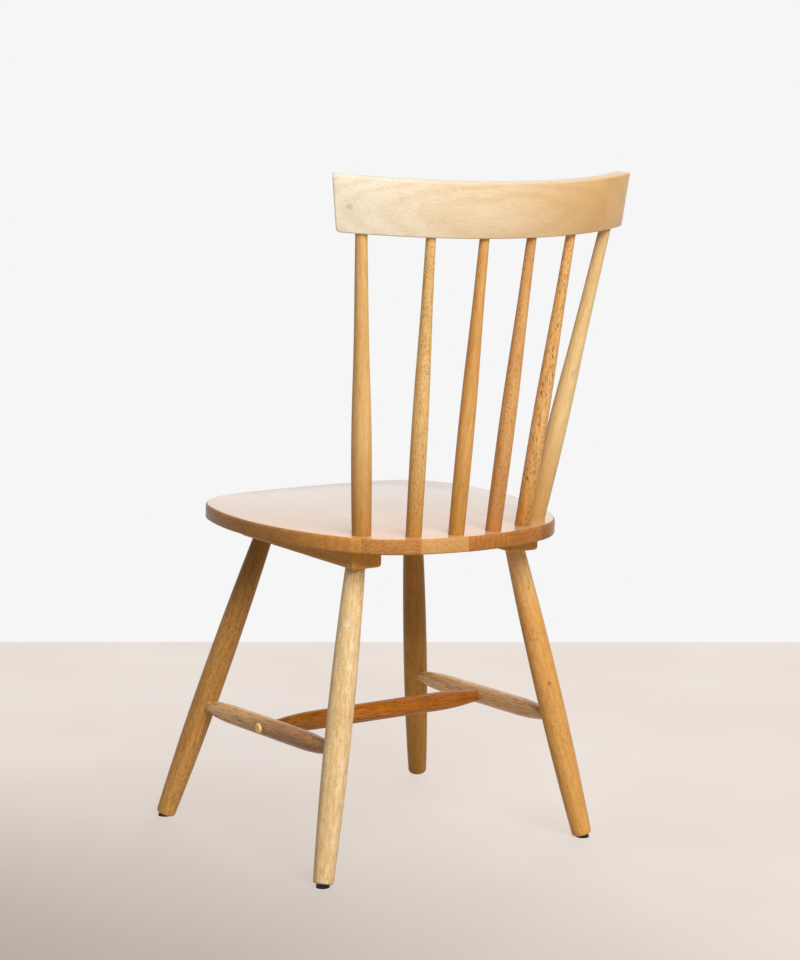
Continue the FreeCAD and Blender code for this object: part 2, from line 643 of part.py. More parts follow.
front_joint = ("Worked.front_joint_x", "Worked.front_joint_y", "Sizes.front_joint_height")
rear_joint = ("Worked.rear_joint_x", "Worked.rear_joint_y", "Sizes.rear_joint_height")
side_length = length_between(front_joint, rear_joint)
socket_width = "Sizes.stretcher_end_diameter + 2 * Sizes.glue_gap"
side_stretchers = {}
for side_name, side in SIDES:
    name = f"{side_name}_side_stretcher"
    stretcher = turned_body(
        f"{name}_blank", stretcher_stations(side_length, "Sizes.leg_belly_diameter / 2"))
    lay_along(stretcher, mirrored(front_joint, side), mirrored(rear_joint, side))
    side_stretchers[side_name] = stretcher
    reach = "Sizes.leg_belly_diameter / 2 + Sizes.overrun"
    leg_drills[side_name, "front"].append(drill(
        f"{name}_front_socket", stretcher, socket_width, "-Sizes.end_gap", reach))
    leg_drills[side_name, "rear"].append(drill(
        f"{name}_rear_socket", stretcher, socket_width,
        f"{side_length} - ({reach})", f"{side_length} + Sizes.end_gap"))

cross = ("Worked.cross_x", "Worked.cross_y", "Worked.cross_z")
tip_x = "(Worked.cross_x - Sizes.cross_tip_short)"
cross_length = f"(2 * {tip_x})"
cross_blank = turned_body("cross_stretcher_blank", stretcher_stations(
    cross_length, "(Sizes.stretcher_diameter / 2 - Sizes.cross_tip_short)"))
lay_along(cross_blank, (tip_x, cross[1], cross[2]), (f"-{tip_x}", cross[1], cross[2]))


# Screws that hold the cross stretcher, and the button plugs that hide their heads.

def screw_body(name, length):
    """A plain-shanked screw with its head at the origin and its point up the Z axis."""
    shank, head = "Sizes.screw_shank_diameter / 2", "Sizes.screw_head_diameter / 2"
    return turned_body(name, (
        (head, "0", "line"),
        (head, "Sizes.screw_head_height", "line"),
        (shank, "Sizes.screw_head_height", "line"),
        (shank, f"{length} - Sizes.screw_point_length", "line"),
        ("Sizes.point_diameter / 2", length, "line"),
    ))


outer_face = "Sizes.stretcher_diameter / 2"
sink = "(Sizes.plug_stem_length + Sizes.screw_head_height + Sizes.end_gap)"
cross_drills = []
for side_name, side in SIDES:
    face_x = f"(Worked.cross_x + {outer_face})"
    start = mirrored((face_x, cross[1], cross[2]), side)
    screw = screw_body(f"{side_name}_stretcher_screw", "Sizes.stretcher_screw_length")
    seat_x = f"({face_x} - Sizes.plug_stem_length - Sizes.end_gap)"
    lay_along(screw, mirrored((seat_x, cross[1], cross[2]), side),
              mirrored(("0", cross[1], cross[2]), side))
    keep(screw, f"{side_name}_stretcher_screw")
    plug = turned_body(f"{side_name}_stretcher_plug", (
        ("Sizes.plug_stem_diameter / 2", "-Sizes.plug_stem_length", "line"),
        ("Sizes.plug_stem_diameter / 2", "0", "line"),
        ("Sizes.plug_head_diameter / 2", "0", "line"),
        ("Sizes.plug_head_diameter / 2", "Sizes.plug_rim_height", "upright_low"),
        ("Sizes.plug_crown_diameter / 2", "Sizes.plug_head_height", "line"),
    ))
    outward = mirrored((f"({face_x} + Sizes.overrun)", cross[1], cross[2]), side)
    lay_along(plug, start, outward)
    keep(plug, f"{side_name}_stretcher_plug")
    counterbore = drill(f"{side_name}_plug_bore", plug,
                        "Sizes.plug_stem_diameter + 2 * Sizes.glue_gap",
                        f"-{sink}", "Sizes.overrun")
    shank_hole = drill(f"{side_name}_shank_bore", screw,
                       "Sizes.screw_shank_diameter + 2 * Sizes.glue_gap",
                       "0", "Sizes.stretcher_screw_length + Sizes.end_gap")
    tenon_hole = doc.addObject("Part::Cylinder", f"{side_name}_cross_socket")
    bind(tenon_hole, Radius=f"({socket_width}) / 2",
         Height="Sizes.stretcher_diameter / 2 + Sizes.overrun")
    tip = mirrored((f"({tip_x} + Sizes.end_gap)", cross[1], cross[2]), side)
    lay_along(tenon_hole, tip, mirrored(("0", cross[1], cross[2]), side))
    cross_drills.append(shank_hole)
    cut_away(side_stretchers[side_name], [counterbore, shank_hole, tenon_hole],
             f"{side_name}_side_stretcher")
cut_away(cross_blank, cross_drills, "cross_stretcher")


# Glides: nylon pads nailed under the feet and worn flat to the floor.

ground = doc.addObject("Part::Box", "ground")
span = "2 * (Sizes.front_foot_spread + Sizes.front_foot_reach + Sizes.rear_foot_reach)"
bind(ground, Length=span, Width=span, Height="Sizes.overrun + Sizes.glide_diameter",
     Placement=f"placement(vector(-({span}) / 2; -({span}) / 2;"
     " -Sizes.overrun - Sizes.glide_diameter); rotation(vector(0; 0; 1); 0))")
nails = []
for (side_name, end), leg in legs.items():
    nail = turned_body(f"{side_name}_{end}_nail", (
        ("Sizes.nail_head_diameter / 2", "-Sizes.nail_head_cover - Sizes.nail_head_height", "line"),
        ("Sizes.nail_head_diameter / 2", "-Sizes.nail_head_cover", "line"),
        ("Sizes.nail_diameter / 2", "-Sizes.nail_head_cover", "line"),
        ("Sizes.nail_diameter / 2", "Sizes.nail_length - Sizes.nail_diameter", "line"),
        ("Sizes.point_diameter / 2", "Sizes.nail_length", "line"),
    ))
    ride_on(nail, leg)
    nails.append(nail)
    pad = drill(f"{side_name}_{end}_glide_blank", leg, "Sizes.glide_diameter",
                "-Sizes.foot_lift - Sizes.glide_diameter / 2", "0")
    head_room = drill(f"{side_name}_{end}_head_bore", leg,
                      "Sizes.nail_head_diameter + 2 * Sizes.glue_gap",
                      "-Sizes.nail_head_cover - Sizes.nail_head_height - Sizes.glue_gap",
                      "-Sizes.nail_head_cover + Sizes.glue_gap")
    shank_room = drill(f"{side_name}_{end}_nail_bore", leg,
                       "Sizes.nail_diameter + 2 * Sizes.glue_gap",
                       "-Sizes.nail_head_cover - Sizes.nail_head_height",
                       "Sizes.nail_length + Sizes.end_gap")
    cut_away(pad, [ground, head_room, shank_room], f"{side_name}_{end}_glide")
    cut_away(leg, leg_drills[side_name, end] + [shank_room], f"{side_name}_{end}_leg")
glide_nails = doc.addObject("Part::Compound", "nail_group")
glide_nails.Links = nails
keep(glide_nails, "glide_nails")


# Battens under the seat, their screws, and the seat boards.

def lower_edges(feature):
    """Names of the edges round the underside of a feature."""
    return rim(feature, feature.Shape.BoundBox.ZMin)


for side_name, side in SIDES:
    blank = doc.addObject("PartDesign::Body", f"{side_name}_batten_blank")
    section = new_sketch(blank, "XY_Plane", f"{side_name}_batten_plan")
    corners = [(f"{across} * Sizes.batten_width / 2", along) for across, along in (
        (-1, "-Worked.batten_front_reach"), (1, "-Worked.batten_front_reach"),
        (1, "Worked.batten_back_reach"), (-1, "Worked.batten_back_reach"))]
    points = [FreeCAD.Vector(value(x), value(y), 0) for x, y in corners]
    for start, stop in zip(points, points[1:] + points[:1]):
        section.addGeometry(Part.LineSegment(start, stop))
    for number, corner in enumerate(corners):
        section.addConstraint(Sketcher.Constraint(
            "Coincident", number, 2, (number + 1) % len(corners), 1))
        hold_point(section, number, 1, *corner)
    bar = blank.newObject("PartDesign::Pad", f"{side_name}_batten_bar")
    bar.Profile = section
    bar.Reversed = True
    bind(bar, Length="Sizes.batten_height")
    doc.recompute()
    softened = blank.newObject("PartDesign::Fillet", f"{side_name}_batten_edges")
    softened.Base = (bar, lower_edges(bar))
    bind(softened, Radius="Sizes.batten_round")
    ride_on(blank, seat_blank, x=f"{side} * Sizes.batten_spread", z="-Sizes.seat_thickness")
    screws = []
    for number in range(BATTEN_SCREWS):
        screw = screw_body(f"{side_name}_batten_screw_{number + 1}", "Sizes.batten_screw_length")
        along = f"-Sizes.batten_screw_front_reach + {number} * Sizes.batten_screw_pitch"
        ride_on(screw, blank, y=along, z="-Sizes.batten_height + Sizes.batten_screw_sink")
        screws.append(screw)
        batten_drills[side_name].append(drill(
            f"{screw.Name}_head_bore", screw, "Sizes.screw_head_diameter + 2 * Sizes.glue_gap",
            "-Sizes.batten_screw_sink - Sizes.overrun", "Sizes.screw_head_height"))
        shank_hole = drill(
            f"{screw.Name}_shank_bore", screw, "Sizes.screw_shank_diameter + 2 * Sizes.glue_gap",
            "0", "Sizes.batten_screw_length + Sizes.end_gap")
        batten_drills[side_name].append(shank_hole)
        seat_drills.append(shank_hole)
    group = doc.addObject("Part::Compound", f"{side_name}_screw_group")
    group.Links = screws
    keep(group, f"{side_name}_batten_screws")
    cut_away(blank, batten_drills[side_name], f"{side_name}_batten")

seat_drilling = doc.addObject("Part::Compound", "seat_drilling")
seat_drilling.Links = seat_drills
first_joint = sizes.board_joint_spread
while first_joint < sizes.seat_half_width:
    first_joint += sizes.board_width
board_count = math.ceil((first_joint + sizes.seat_half_width) / sizes.board_width)
steps_to_first = round((first_joint - sizes.board_joint_spread) / sizes.board_width)
for number in range(board_count):
    plank = doc.addObject("Part::Box", f"plank_{number + 1}")
    bind(plank, Length="Sizes.board_width",
         Width="Sizes.seat_front_reach + Sizes.seat_back_reach + 2 * Sizes.overrun",
         Height="Sizes.seat_thickness + 2 * Sizes.overrun")
    ride_on(plank, seat_blank,
            x=f"Sizes.board_joint_spread + {steps_to_first - number - 1} * Sizes.board_width",
            y="-Sizes.seat_front_reach - Sizes.overrun",
            z="-Sizes.seat_thickness - Sizes.overrun")
    board = doc.addObject("Part::Common", f"board_{number + 1}")
    board.Base = seat_blank
    board.Tool = plank
    result = doc.addObject("Part::Cut", f"seat_board_{number + 1}_cut")
    result.Base = board
    result.Tool = seat_drilling
    keep(result, f"seat_board_{number + 1}")


def check_and_write():
    """Stops on any failed object or unsound shape, then writes one file for each sub-part."""
    doc.recompute()
    for thing in doc.Objects:
        if "Invalid" in thing.State or "Error" in thing.State:
            raise RuntimeError(f"{thing.Label} did not build: {thing.State}")
    os.makedirs("parts", exist_ok=True)
    whole = FreeCAD.BoundBox()
    for thing in sub_parts:
        shape = thing.Shape
        if shape.isNull() or not shape.isValid() or not shape.Solids:
            raise RuntimeError(f"{thing.Label} has no sound shape")
        whole.add(shape.optimalBoundingBox(False))
    for thing in sub_parts:
        thing.Shape.exportStep(f"parts/{thing.Label}.step")
        print(thing.Label, len(thing.Shape.Solids), "solids", round(thing.Shape.Volume, 1), "mm3")
    print("box", [round(edge, 2) for edge in (whole.XMin, whole.XMax, whole.YMin, whole.YMax,
                                              whole.ZMin, whole.ZMax)])


check_and_write()
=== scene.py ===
"""Looks of a spindle-back dining chair in clear-lacquered rubberwood.

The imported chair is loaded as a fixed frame, with the sitter facing -Y. The turned pieces, the
crest rail and the seat boards are made again here, so that their figure follows the wood of
each piece. The battens, screws, nails and glides are the frame's own solids. The chair's
sizes are in millimetres, and are turned to metres when a piece is put in its place. The
studio's sizes are in metres.
"""

import logging
import math
from dataclasses import dataclass, replace
from enum import Enum

import bmesh
import bpy
from bmesh.types import BMEdge, BMesh, BMVert
from mathutils import Matrix, Vector


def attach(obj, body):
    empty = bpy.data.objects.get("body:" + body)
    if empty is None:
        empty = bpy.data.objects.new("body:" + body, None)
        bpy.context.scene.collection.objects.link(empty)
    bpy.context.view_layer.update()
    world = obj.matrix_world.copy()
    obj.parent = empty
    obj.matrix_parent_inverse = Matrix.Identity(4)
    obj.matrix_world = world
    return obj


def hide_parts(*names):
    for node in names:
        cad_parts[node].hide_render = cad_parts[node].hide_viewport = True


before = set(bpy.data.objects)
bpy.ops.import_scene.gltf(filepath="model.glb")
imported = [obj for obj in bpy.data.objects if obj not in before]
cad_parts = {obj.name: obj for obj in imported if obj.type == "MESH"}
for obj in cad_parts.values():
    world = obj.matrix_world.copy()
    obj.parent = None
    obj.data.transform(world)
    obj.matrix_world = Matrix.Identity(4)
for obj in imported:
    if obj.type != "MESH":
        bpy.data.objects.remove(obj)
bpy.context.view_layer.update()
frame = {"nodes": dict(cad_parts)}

LOG = logging.getLogger("dining_chair")
MM = 0.001
LAP = 1e-3  # points nearer than this, in millimetres, are one point
QUARTER_TURN = math.radians(90)
SOFT_BEND = math.radians(32)  # a bend below this is shaded as one smooth surface
HARD_BEND = math.radians(50)  # a bend above this is an edge that gets rounded
SIDES = {"left": 1, "right": -1}  # the sitter's left is towards +X
GRAIN = "grain"
TOP_FACE = "top_face"
Colour = tuple[float, float, float, float]
Point = tuple[float, float, float]
Socket = bpy.types.NodeSocket
Settings = dict[str | int, object]

BLACK: Colour = (0.0, 0.0, 0.0, 1.0)
MIX_FACTOR, MIX_A, MIX_B, MIX_OUT = 0, 6, 7, 2  # sockets of a colour mix
DENT = 0.05 * MM  # depth of the relief under a lacquer or in a moulded skin


class Lead(Enum):
    """How the outline of a turned piece runs from one station to the next."""

    STRAIGHT = "a straight line"
    SWELLING = "an arc that is widest where it ends"
    FALLING = "an arc that is widest where it starts"
    FLOWING = "an arc that carries on smoothly from the one before"


class GrainFrom(Enum):
    """Where the figure of a wood takes its coordinates from."""

    PIECE = "the piece's own grain attribute, in millimetres"
    LENGTHWISE = "object coordinates, with the wood running front to back"


def linear(hex_colour: str) -> Colour:
    """Turns an sRGB colour into the linear values that the shaders take.

    Args:
        hex_colour: Six hexadecimal digits, red first.

    Returns:
        Red, green, blue and a full alpha, linear.
    """
    shares = (int(hex_colour[at:at + 2], 16) / 255 for at in (0, 2, 4))
    red, green, blue = (
        share / 12.92 if share <= 0.04045 else ((share + 0.055) / 1.055) ** 2.4
        for share in shares
    )
    return (red, green, blue, 1.0)


@dataclass(frozen=True)
class Recipe:
    """A tree of shader nodes, with the steps that the finishes share."""

    tree: bpy.types.NodeTree

    def add(self, kind: str, settings: Settings | None = None) -> bpy.types.Node:
        """Adds a node to the tree.

        Args:
            kind: Blender's name for the node's type, after "ShaderNode".
            settings: What the node gets, by the name of a property, in lower case, or by the
                name or number of an input. A socket feeds its input, and any other value is
                set on it.

        Returns:
            The new node.
        """
        node = self.tree.nodes.new(f"ShaderNode{kind}")
        for name, value in (settings or {}).items():
            if isinstance(value, Socket):
                self.tree.links.new(value, node.inputs[name])
            elif isinstance(name, str) and name.islower():
                setattr(node, name, value)
            else:
                node.inputs[name].default_value = value
        return node

    def place(self) -> Socket:
        """Gives the object coordinates, in metres."""
        return self.add("TexCoord").outputs["Object"]

    def clouds(self, place: Socket, size: float, detail: float = 2.0) -> Socket:
        """Adds even clouds of one size, in the unit of the coordinates."""
        return self.add("TexNoise", {
            "Scale": 1 / size, "Detail": detail, "Vector": place}).outputs["Fac"]

    def drawn_out(
        self, grain: Socket, across: float, along: float, detail: float = 2.0,
        roughness: float = 0.55, output: str = "Fac",
    ) -> Socket:
        """Adds clouds of one width across the grain and another length along it."""
        place = self.add("Mapping", {
            "Scale": (1 / across, 1 / across, 1 / along), "Vector": grain})
        return self.add("TexNoise", {
            "Scale": 1.0, "Detail": detail, "Roughness": roughness,
            "Vector": place.outputs["Vector"]}).outputs[output]

    def ranged(
        self, source: Socket, low: float, high: float, to_low: float = 0.0,
        to_high: float = 1.0, curve: str = "LINEAR",
    ) -> Socket:
        """Stretches the values from low to high to another range, and holds them in it."""
        return self.add("MapRange", {
            "interpolation_type": curve, "From Min": low, "From Max": high,
            "To Min": to_low, "To Max": to_high, "Value": source}).outputs["Result"]

    def mixed(
        self, factor: Socket | float, first: Socket | Colour, second: Socket | Colour,
        blend: str = "MIX",
    ) -> Socket:
        """Mixes two colours. The factor is the share of the second one."""
        return self.add("Mix", {
            "data_type": "RGBA", "blend_type": blend, MIX_FACTOR: factor, MIX_A: first,
            MIX_B: second}).outputs[MIX_OUT]

    def reckoned(self, operation: str, first: Socket, second: Socket | float) -> Socket:
        """Works out one value from two."""
        return self.add("Math", {
            "operation": operation, 0: first, 1: second}).outputs[0]

    def multiplied(self, first: Socket, second: Socket | float) -> Socket:
        """Multiplies values by other values or by a number."""
        return self.reckoned("MULTIPLY", first, second)

    def distance(self, place: Socket, point: Point) -> Socket:
        """Gives the distance from a point, in the unit of the coordinates."""
        return self.add("VectorMath", {
            "operation": "DISTANCE", 0: place, 1: point}).outputs["Value"]

    def dented(self, height: Socket, strength: float, inwards: bool = False) -> Socket:
        """Adds relief, which goes inwards or outwards where the height is large."""
        return self.add("Bump", {
            "invert": inwards, "Strength": strength, "Distance": DENT,
            "Height": height}).outputs["Normal"]

    def seen(self, share: float, lit: bpy.types.Node, shown: bpy.types.Node) -> Socket:
        """Parts the rays that show the studio from those that light the chair.

        Args:
            share: How much of the shown shader the eye and the reflections get.
            lit: Shader for the rays that carry light to the chair.
            shown: Shader for the eye and for reflections.

        Returns:
            The socket with both.
        """
        path = self.add("LightPath")
        seen = path.outputs["Is Camera Ray"]
        for ray in ("Is Glossy Ray", "Is Transmission Ray"):
            seen = self.reckoned("MAXIMUM", seen, path.outputs[ray])
        return self.add("MixShader", {
            0: self.multiplied(seen, share), 1: lit.outputs[0],
            2: shown.outputs[0]}).outputs[0]

    def show(self, surface: Socket, output: str = "OutputMaterial") -> None:
        """Leads a surface to the tree's output."""
        self.add(output, {"Surface": surface})

    def show_body(self, settings: Settings) -> None:
        """Adds the shader of a solid body and leads it to the output."""
        self.show(self.add("BsdfPrincipled", settings).outputs[0])


def new_material(name: str) -> tuple[bpy.types.Material, Recipe]:
    """Makes an empty node material.

    Args:
        name: Name of the material.

    Returns:
        The material and the recipe for its cleared tree.
    """
    material = bpy.data.materials.new(name)
    material.use_nodes = True
    material.node_tree.nodes.clear()
    return material, Recipe(material.node_tree)


# The figure of rubberwood. Sizes are in millimetres, first across the grain and then along it.
# A span names the values of a noise pattern that are stretched to the full range.
PATCH_MM, PATCH_SHARE = (34, 120), 0.3
MOTTLE_MM = (3.5, 13)
PATCH_SPAN = (0.34, 0.66)
WAVER_MM, WAVER_REACH = (45, 170), 2  # the reach is counted in bands
WAVER_ROUGHNESS = 0.5
RING_WARP: Settings = {"Distortion": 2.0, "Detail": 2.0, "Detail Scale": 0.6}
WAVE_FACTOR = 20  # the wave node draws a ring for each 2 pi of so many times its coordinates
BAND_SPAN = (0.25, 0.95)
FIBRE_LAYERS, FIBRE_SPAN, STREAK_SPAN = 3.0, (0.3, 0.7), (0.5, 0.75)
DASH_WIDTH_MM = 1.0  # real vessels are about 0.3 mm wide and would not show
DASH_LAYERS, DASH_SPAN = 1.5, (0.56, 0.66)
HOLD_MM, HOLD_SPAN, HOLD_SHIFT = (9, 40), (0.66, 0.78), 0.36  # patches that hold dashes
KNOT_REACH, KNOT_SHARE = (1.8, 0.5), 0.6  # the reach is counted in radii of the knot
DENT_SPAN = (0.0, 0.5)
SAWN_GLOSS = 0.1  # share of the gloss that a sawn edge keeps
LENGTHWISE_AT, LENGTHWISE_TURN = (38, 12, 0), math.radians(91.5)


@dataclass(frozen=True)
class LacqueredRubberwood:
    """Rubberwood, turned or planed, sanded and sprayed with a clear satin lacquer.

    Rubberwood is a pale straw-coloured tropical wood with hardly any growth rings, but with
    coarse vessels that show as short brown dashes along the grain. The lacquer warms it to
    honey, fills the pores and lies over it as a smooth skin that mirrors at a low angle.

    Attributes:
        name: Name of the material.
        pale: Lighter wood between the bands.
        deep: Darker wood of the bands.
        vessel: The dashes.
        band_mm: Spacing of the growth bands.
        band_share: How much of the darker colour the bands take on.
        mottle_share: How much of it the soft patches between the bands take on.
        fibre_share: How strongly the long fibres show.
        fibre_mm: Width and length of the fibres.
        dash_share: How strongly the dashes show.
        dash_cover: Share of the surface that can hold dashes, from 0 to 1.
        dash_mm: Length of the dashes.
        rough: Roughness of the wood under the lacquer.
        rough_spread: How far the roughness goes up and down with the fibres.
        body_gloss: Specular level of the wood under the lacquer.
        coat: Strength of the lacquer's own reflections.
        coat_rough: Roughness of the lacquer.
        bend: Refractive index of the lacquer. A lower one mirrors mainly at a low angle.
        relief: How strongly the fibres and vessels dent the lacquer.
        face: Paler tone painted on the planed top face, if the piece has one, as a painted
            sheen of the lacquer seen at a low angle. Its sawn edges keep the plain wood, and
            less gloss, as end grain drinks the lacquer.
        painted_sheen_share: How much of that tone the top face takes on.
        knot: Place in the trunk of a pin knot, where a twig once grew, if there is one.
        knot_mm: Radius of the knot.
        fade: Painted shade, a tint by which the wood darkens towards one end of
            the piece, if it does, where shade falls on that end. On the crest rail it leaves the
            other end pale as a painted sheen.
        fade_span: Places along the trunk where the tint starts and where it is full.
        grain_from: Where the figure takes its coordinates from.
    """

    name: str
    pale: str
    deep: str
    vessel: str
    band_mm: float = 8.0
    band_share: float = 0.25
    mottle_share: float = 0.3
    fibre_share: float = 0.45
    fibre_mm: tuple[float, float] = (0.9, 26.0)
    dash_share: float = 0.55
    dash_cover: float = 0.5
    dash_mm: float = 5.5
    rough: float = 0.45
    rough_spread: float = 0.05
    body_gloss: float = 0.1
    coat: float = 0.14
    coat_rough: float = 0.2
    bend: float = 1.5
    relief: float = 0.35
    face: str = ""
    painted_sheen_share: float = 0.75
    knot: Point | None = None
    knot_mm: float = 2.0
    fade: str = ""
    fade_span: tuple[float, float] = (0.0, 1.0)
    grain_from: GrainFrom = GrainFrom.PIECE

    def coordinates(self, recipe: Recipe) -> Socket:
        """Gives the place in the tree trunk, in millimetres, with Z along the grain."""
        if self.grain_from is GrainFrom.PIECE:
            return recipe.add("Attribute", {"attribute_name": GRAIN}).outputs["Vector"]
        return recipe.add("Mapping", {
            "Location": LENGTHWISE_AT, "Rotation": (LENGTHWISE_TURN, 0, 0),
            "Scale": (1 / MM, 1 / MM, 1 / MM), "Vector": recipe.place()}).outputs["Vector"]

    def bands(self, recipe: Recipe, grain: Socket) -> Socket:
        """Adds the growth bands, from 0 between them to 1 in them, which waver."""
        waver = recipe.drawn_out(grain, *WAVER_MM, roughness=WAVER_ROUGHNESS, output="Color")
        reach = WAVER_REACH * self.band_mm
        place = recipe.add("VectorMath", {
            "operation": "MULTIPLY_ADD", 0: waver, 1: (reach, reach, 0), 2: grain})
        rings = recipe.add("TexWave", RING_WARP | {
            "wave_type": "RINGS", "rings_direction": "Z", "wave_profile": "SIN",
            "Scale": 2 * math.pi / (WAVE_FACTOR * self.band_mm),
            "Vector": place.outputs["Vector"]})
        return recipe.ranged(rings.outputs["Fac"], *BAND_SPAN)

    def figure(self, recipe: Recipe, grain: Socket) -> Socket:
        """Adds the wood's tones: bands, soft patches, a knot, and painted shade at one end.

        Args:
            recipe: The material's recipe.
            grain: Coordinates in millimetres.

        Returns:
            The socket with the colour.
        """
        deep = linear(self.deep)
        bands = recipe.multiplied(self.bands(recipe, grain), self.band_share)
        colour = recipe.mixed(bands, linear(self.pale), deep)
        for size_mm, share in ((PATCH_MM, PATCH_SHARE), (MOTTLE_MM, self.mottle_share)):
            patches = recipe.ranged(recipe.drawn_out(grain, *size_mm), *PATCH_SPAN)
            colour = recipe.mixed(recipe.multiplied(patches, share), colour, deep)
        # Painted shade: a tint darkens one end of the piece where shade falls on it. On the crest
        # rail the untinted end is a painted sheen.
        if self.fade:
            along = recipe.add("SeparateXYZ", {0: grain}).outputs["Z"]
            painted_shading = recipe.ranged(along, *self.fade_span)
            colour = recipe.mixed(painted_shading, colour, linear(self.fade), "MULTIPLY")
        if self.knot:
            reach = (radii * self.knot_mm for radii in KNOT_REACH)
            knot = recipe.ranged(recipe.distance(grain, self.knot), *reach, 0.0, KNOT_SHARE)
            colour = recipe.mixed(knot, colour, linear(self.vessel))
        return colour

    def material(self) -> bpy.types.Material:
        """Builds the wood with its figure, fibres, dashes and lacquer.

        Returns:
            The finished material.
        """
        material, recipe = new_material(self.name)
        grain = self.coordinates(recipe)
        vessel = linear(self.vessel)
        fibre = recipe.drawn_out(grain, *self.fibre_mm, FIBRE_LAYERS)
        streaks = recipe.ranged(fibre, *STREAK_SPAN, 0.0, self.fibre_share)
        dashes = recipe.ranged(
            recipe.drawn_out(grain, DASH_WIDTH_MM, self.dash_mm, DASH_LAYERS), *DASH_SPAN)
        holding = recipe.ranged(
            recipe.drawn_out(grain, *HOLD_MM),
            *(edge - HOLD_SHIFT * self.dash_cover for edge in HOLD_SPAN))
        marks = recipe.multiplied(recipe.multiplied(dashes, holding), self.dash_share)
        colour = recipe.mixed(streaks, self.figure(recipe, grain), vessel)
        colour = recipe.mixed(marks, colour, vessel)
        gloss: Settings = {"Specular IOR Level": self.body_gloss, "Coat Weight": self.coat}
        # Painted sheen: the top face takes on a paler tone and the full gloss; the sawn edges
        # keep the plain wood.
        if self.face:
            top_face = recipe.add("Attribute", {"attribute_name": TOP_FACE}).outputs["Fac"]
            face = recipe.multiplied(top_face, self.painted_sheen_share)
            colour = recipe.mixed(face, colour, linear(self.face))
            gloss = {name: recipe.ranged(top_face, 0.0, 1.0, SAWN_GLOSS * most, most)
                     for name, most in gloss.items()}
        # The lacquer leaves the fibres and vessels as dents of a few hundredths of a millimetre.
        dents = recipe.ranged(recipe.multiplied(fibre, marks), *DENT_SPAN)
        roughness = recipe.ranged(
            fibre, *FIBRE_SPAN, self.rough - self.rough_spread, self.rough + self.rough_spread)
        recipe.show_body(gloss | {
            "IOR": self.bend, "Coat IOR": self.bend, "Coat Roughness": self.coat_rough,
            "Base Color": colour, "Roughness": roughness,
            "Normal": recipe.dented(dents, self.relief, inwards=True)})
        return material


@dataclass(frozen=True)
class MouldedNylon:
    """Injection-moulded nylon, a waxy brown-black plastic with a fine, soft texture."""

    name: str = "moulded_nylon"
    colour: str = "14110f"
    worn: str = "26211d"
    scuff_mm: float = 3
    scuff_detail: float = 3.0
    grit_mm: float = 0.5
    relief: float = 0.3
    rough: float = 0.6
    gloss: float = 0.25
    bend: float = 1.53

    def material(self) -> bpy.types.Material:
        """Builds the nylon, a little paler where the floor has scuffed it."""
        material, recipe = new_material(self.name)
        place = recipe.place()
        scuffs = recipe.clouds(place, self.scuff_mm * MM, self.scuff_detail)
        grit = recipe.clouds(place, self.grit_mm * MM)
        recipe.show_body({
            "IOR": self.bend, "Roughness": self.rough, "Specular IOR Level": self.gloss,
            "Base Color": recipe.mixed(scuffs, linear(self.colour), linear(self.worn)),
            "Normal": recipe.dented(grit, self.relief)})
        return material


@dataclass(frozen=True)
class ZincPlatedSteel:
    """Steel screws and nails, electroplated with zinc: bluish grey, satin, a little cloudy."""

    name: str = "zinc_plated_steel"
    bright: str = "c9ccce"
    dull: str = "9a9fa3"
    cloud_mm: float = 2
    rough: tuple[float, float] = (0.28, 0.46)

    def material(self) -> bpy.types.Material:
        """Builds the plating, rougher where it is dull."""
        material, recipe = new_material(self.name)
        clouds = recipe.clouds(recipe.place(), self.cloud_mm * MM)
        recipe.show_body({
            "Metallic": 1.0, "Roughness": recipe.ranged(clouds, 0.0, 1.0, *self.rough),
            "Base Color": recipe.mixed(clouds, linear(self.bright), linear(self.dull))})
        return material


@dataclass(frozen=True)
class PaintedStudioFloor:
    """A studio floor in matt pinkish-grey paint, with soft clouds and painted shade at one
    corner.

    The paint is rolled on by hand, which leaves wide, soft clouds. It fills the view with a pale
    tone of its own, so that the chair's shadow stays soft, and adds no light to the chair.

    Attributes:
        name: Name of the material.
        pale: Paint as it was rolled on.
        deep: Paint in the clouds.
        cloud: Size of the clouds, in metres.
        dull: Painted shade, the darker tone in the middle of the shaded patch.
        painted_shade_share: How much of that tone the painted shade takes on.
        painted_shade_at: Middle of the painted shade, in metres.
        painted_shade_reach: Distances from there at which the shade ends and is full, in metres.
        own_share: Share of the tone that the eye sees whatever light falls on the floor.
        bounce: Share of the light that the floor gives back.
    """

    name: str = "painted_studio_floor"
    pale: str = "f7eee7"
    deep: str = "ebdfd6"
    cloud: float = 400 * MM
    dull: str = "9b897d"
    painted_shade_share: float = 0.75
    painted_shade_at: Point = (1.25, 0.35, 0.0)
    painted_shade_reach: tuple[float, float] = (1.65, 0.25)
    own_share: float = 0.8
    bounce: float = 0.6

    def material(self) -> bpy.types.Material:
        """Builds the paint, with its clouds and the painted shade."""
        material, recipe = new_material(self.name)
        place = recipe.place()
        clouds = recipe.clouds(place, self.cloud)
        rolled = recipe.mixed(clouds, linear(self.pale), linear(self.deep))
        # Painted shade: the floor darkens towards the near left corner of the view.
        dull = recipe.ranged(
            recipe.distance(place, self.painted_shade_at), *self.painted_shade_reach, 0.0, self.painted_shade_share,
            "SMOOTHSTEP")
        colour = recipe.mixed(dull, rolled, linear(self.dull))
        dim = recipe.mixed(self.bounce, BLACK, colour)
        lit = recipe.add("BsdfDiffuse", {"Color": dim})
        own = recipe.add("Emission", {"Strength": 1.0, "Color": colour})
        recipe.show(recipe.seen(self.own_share, lit, own))
        return material


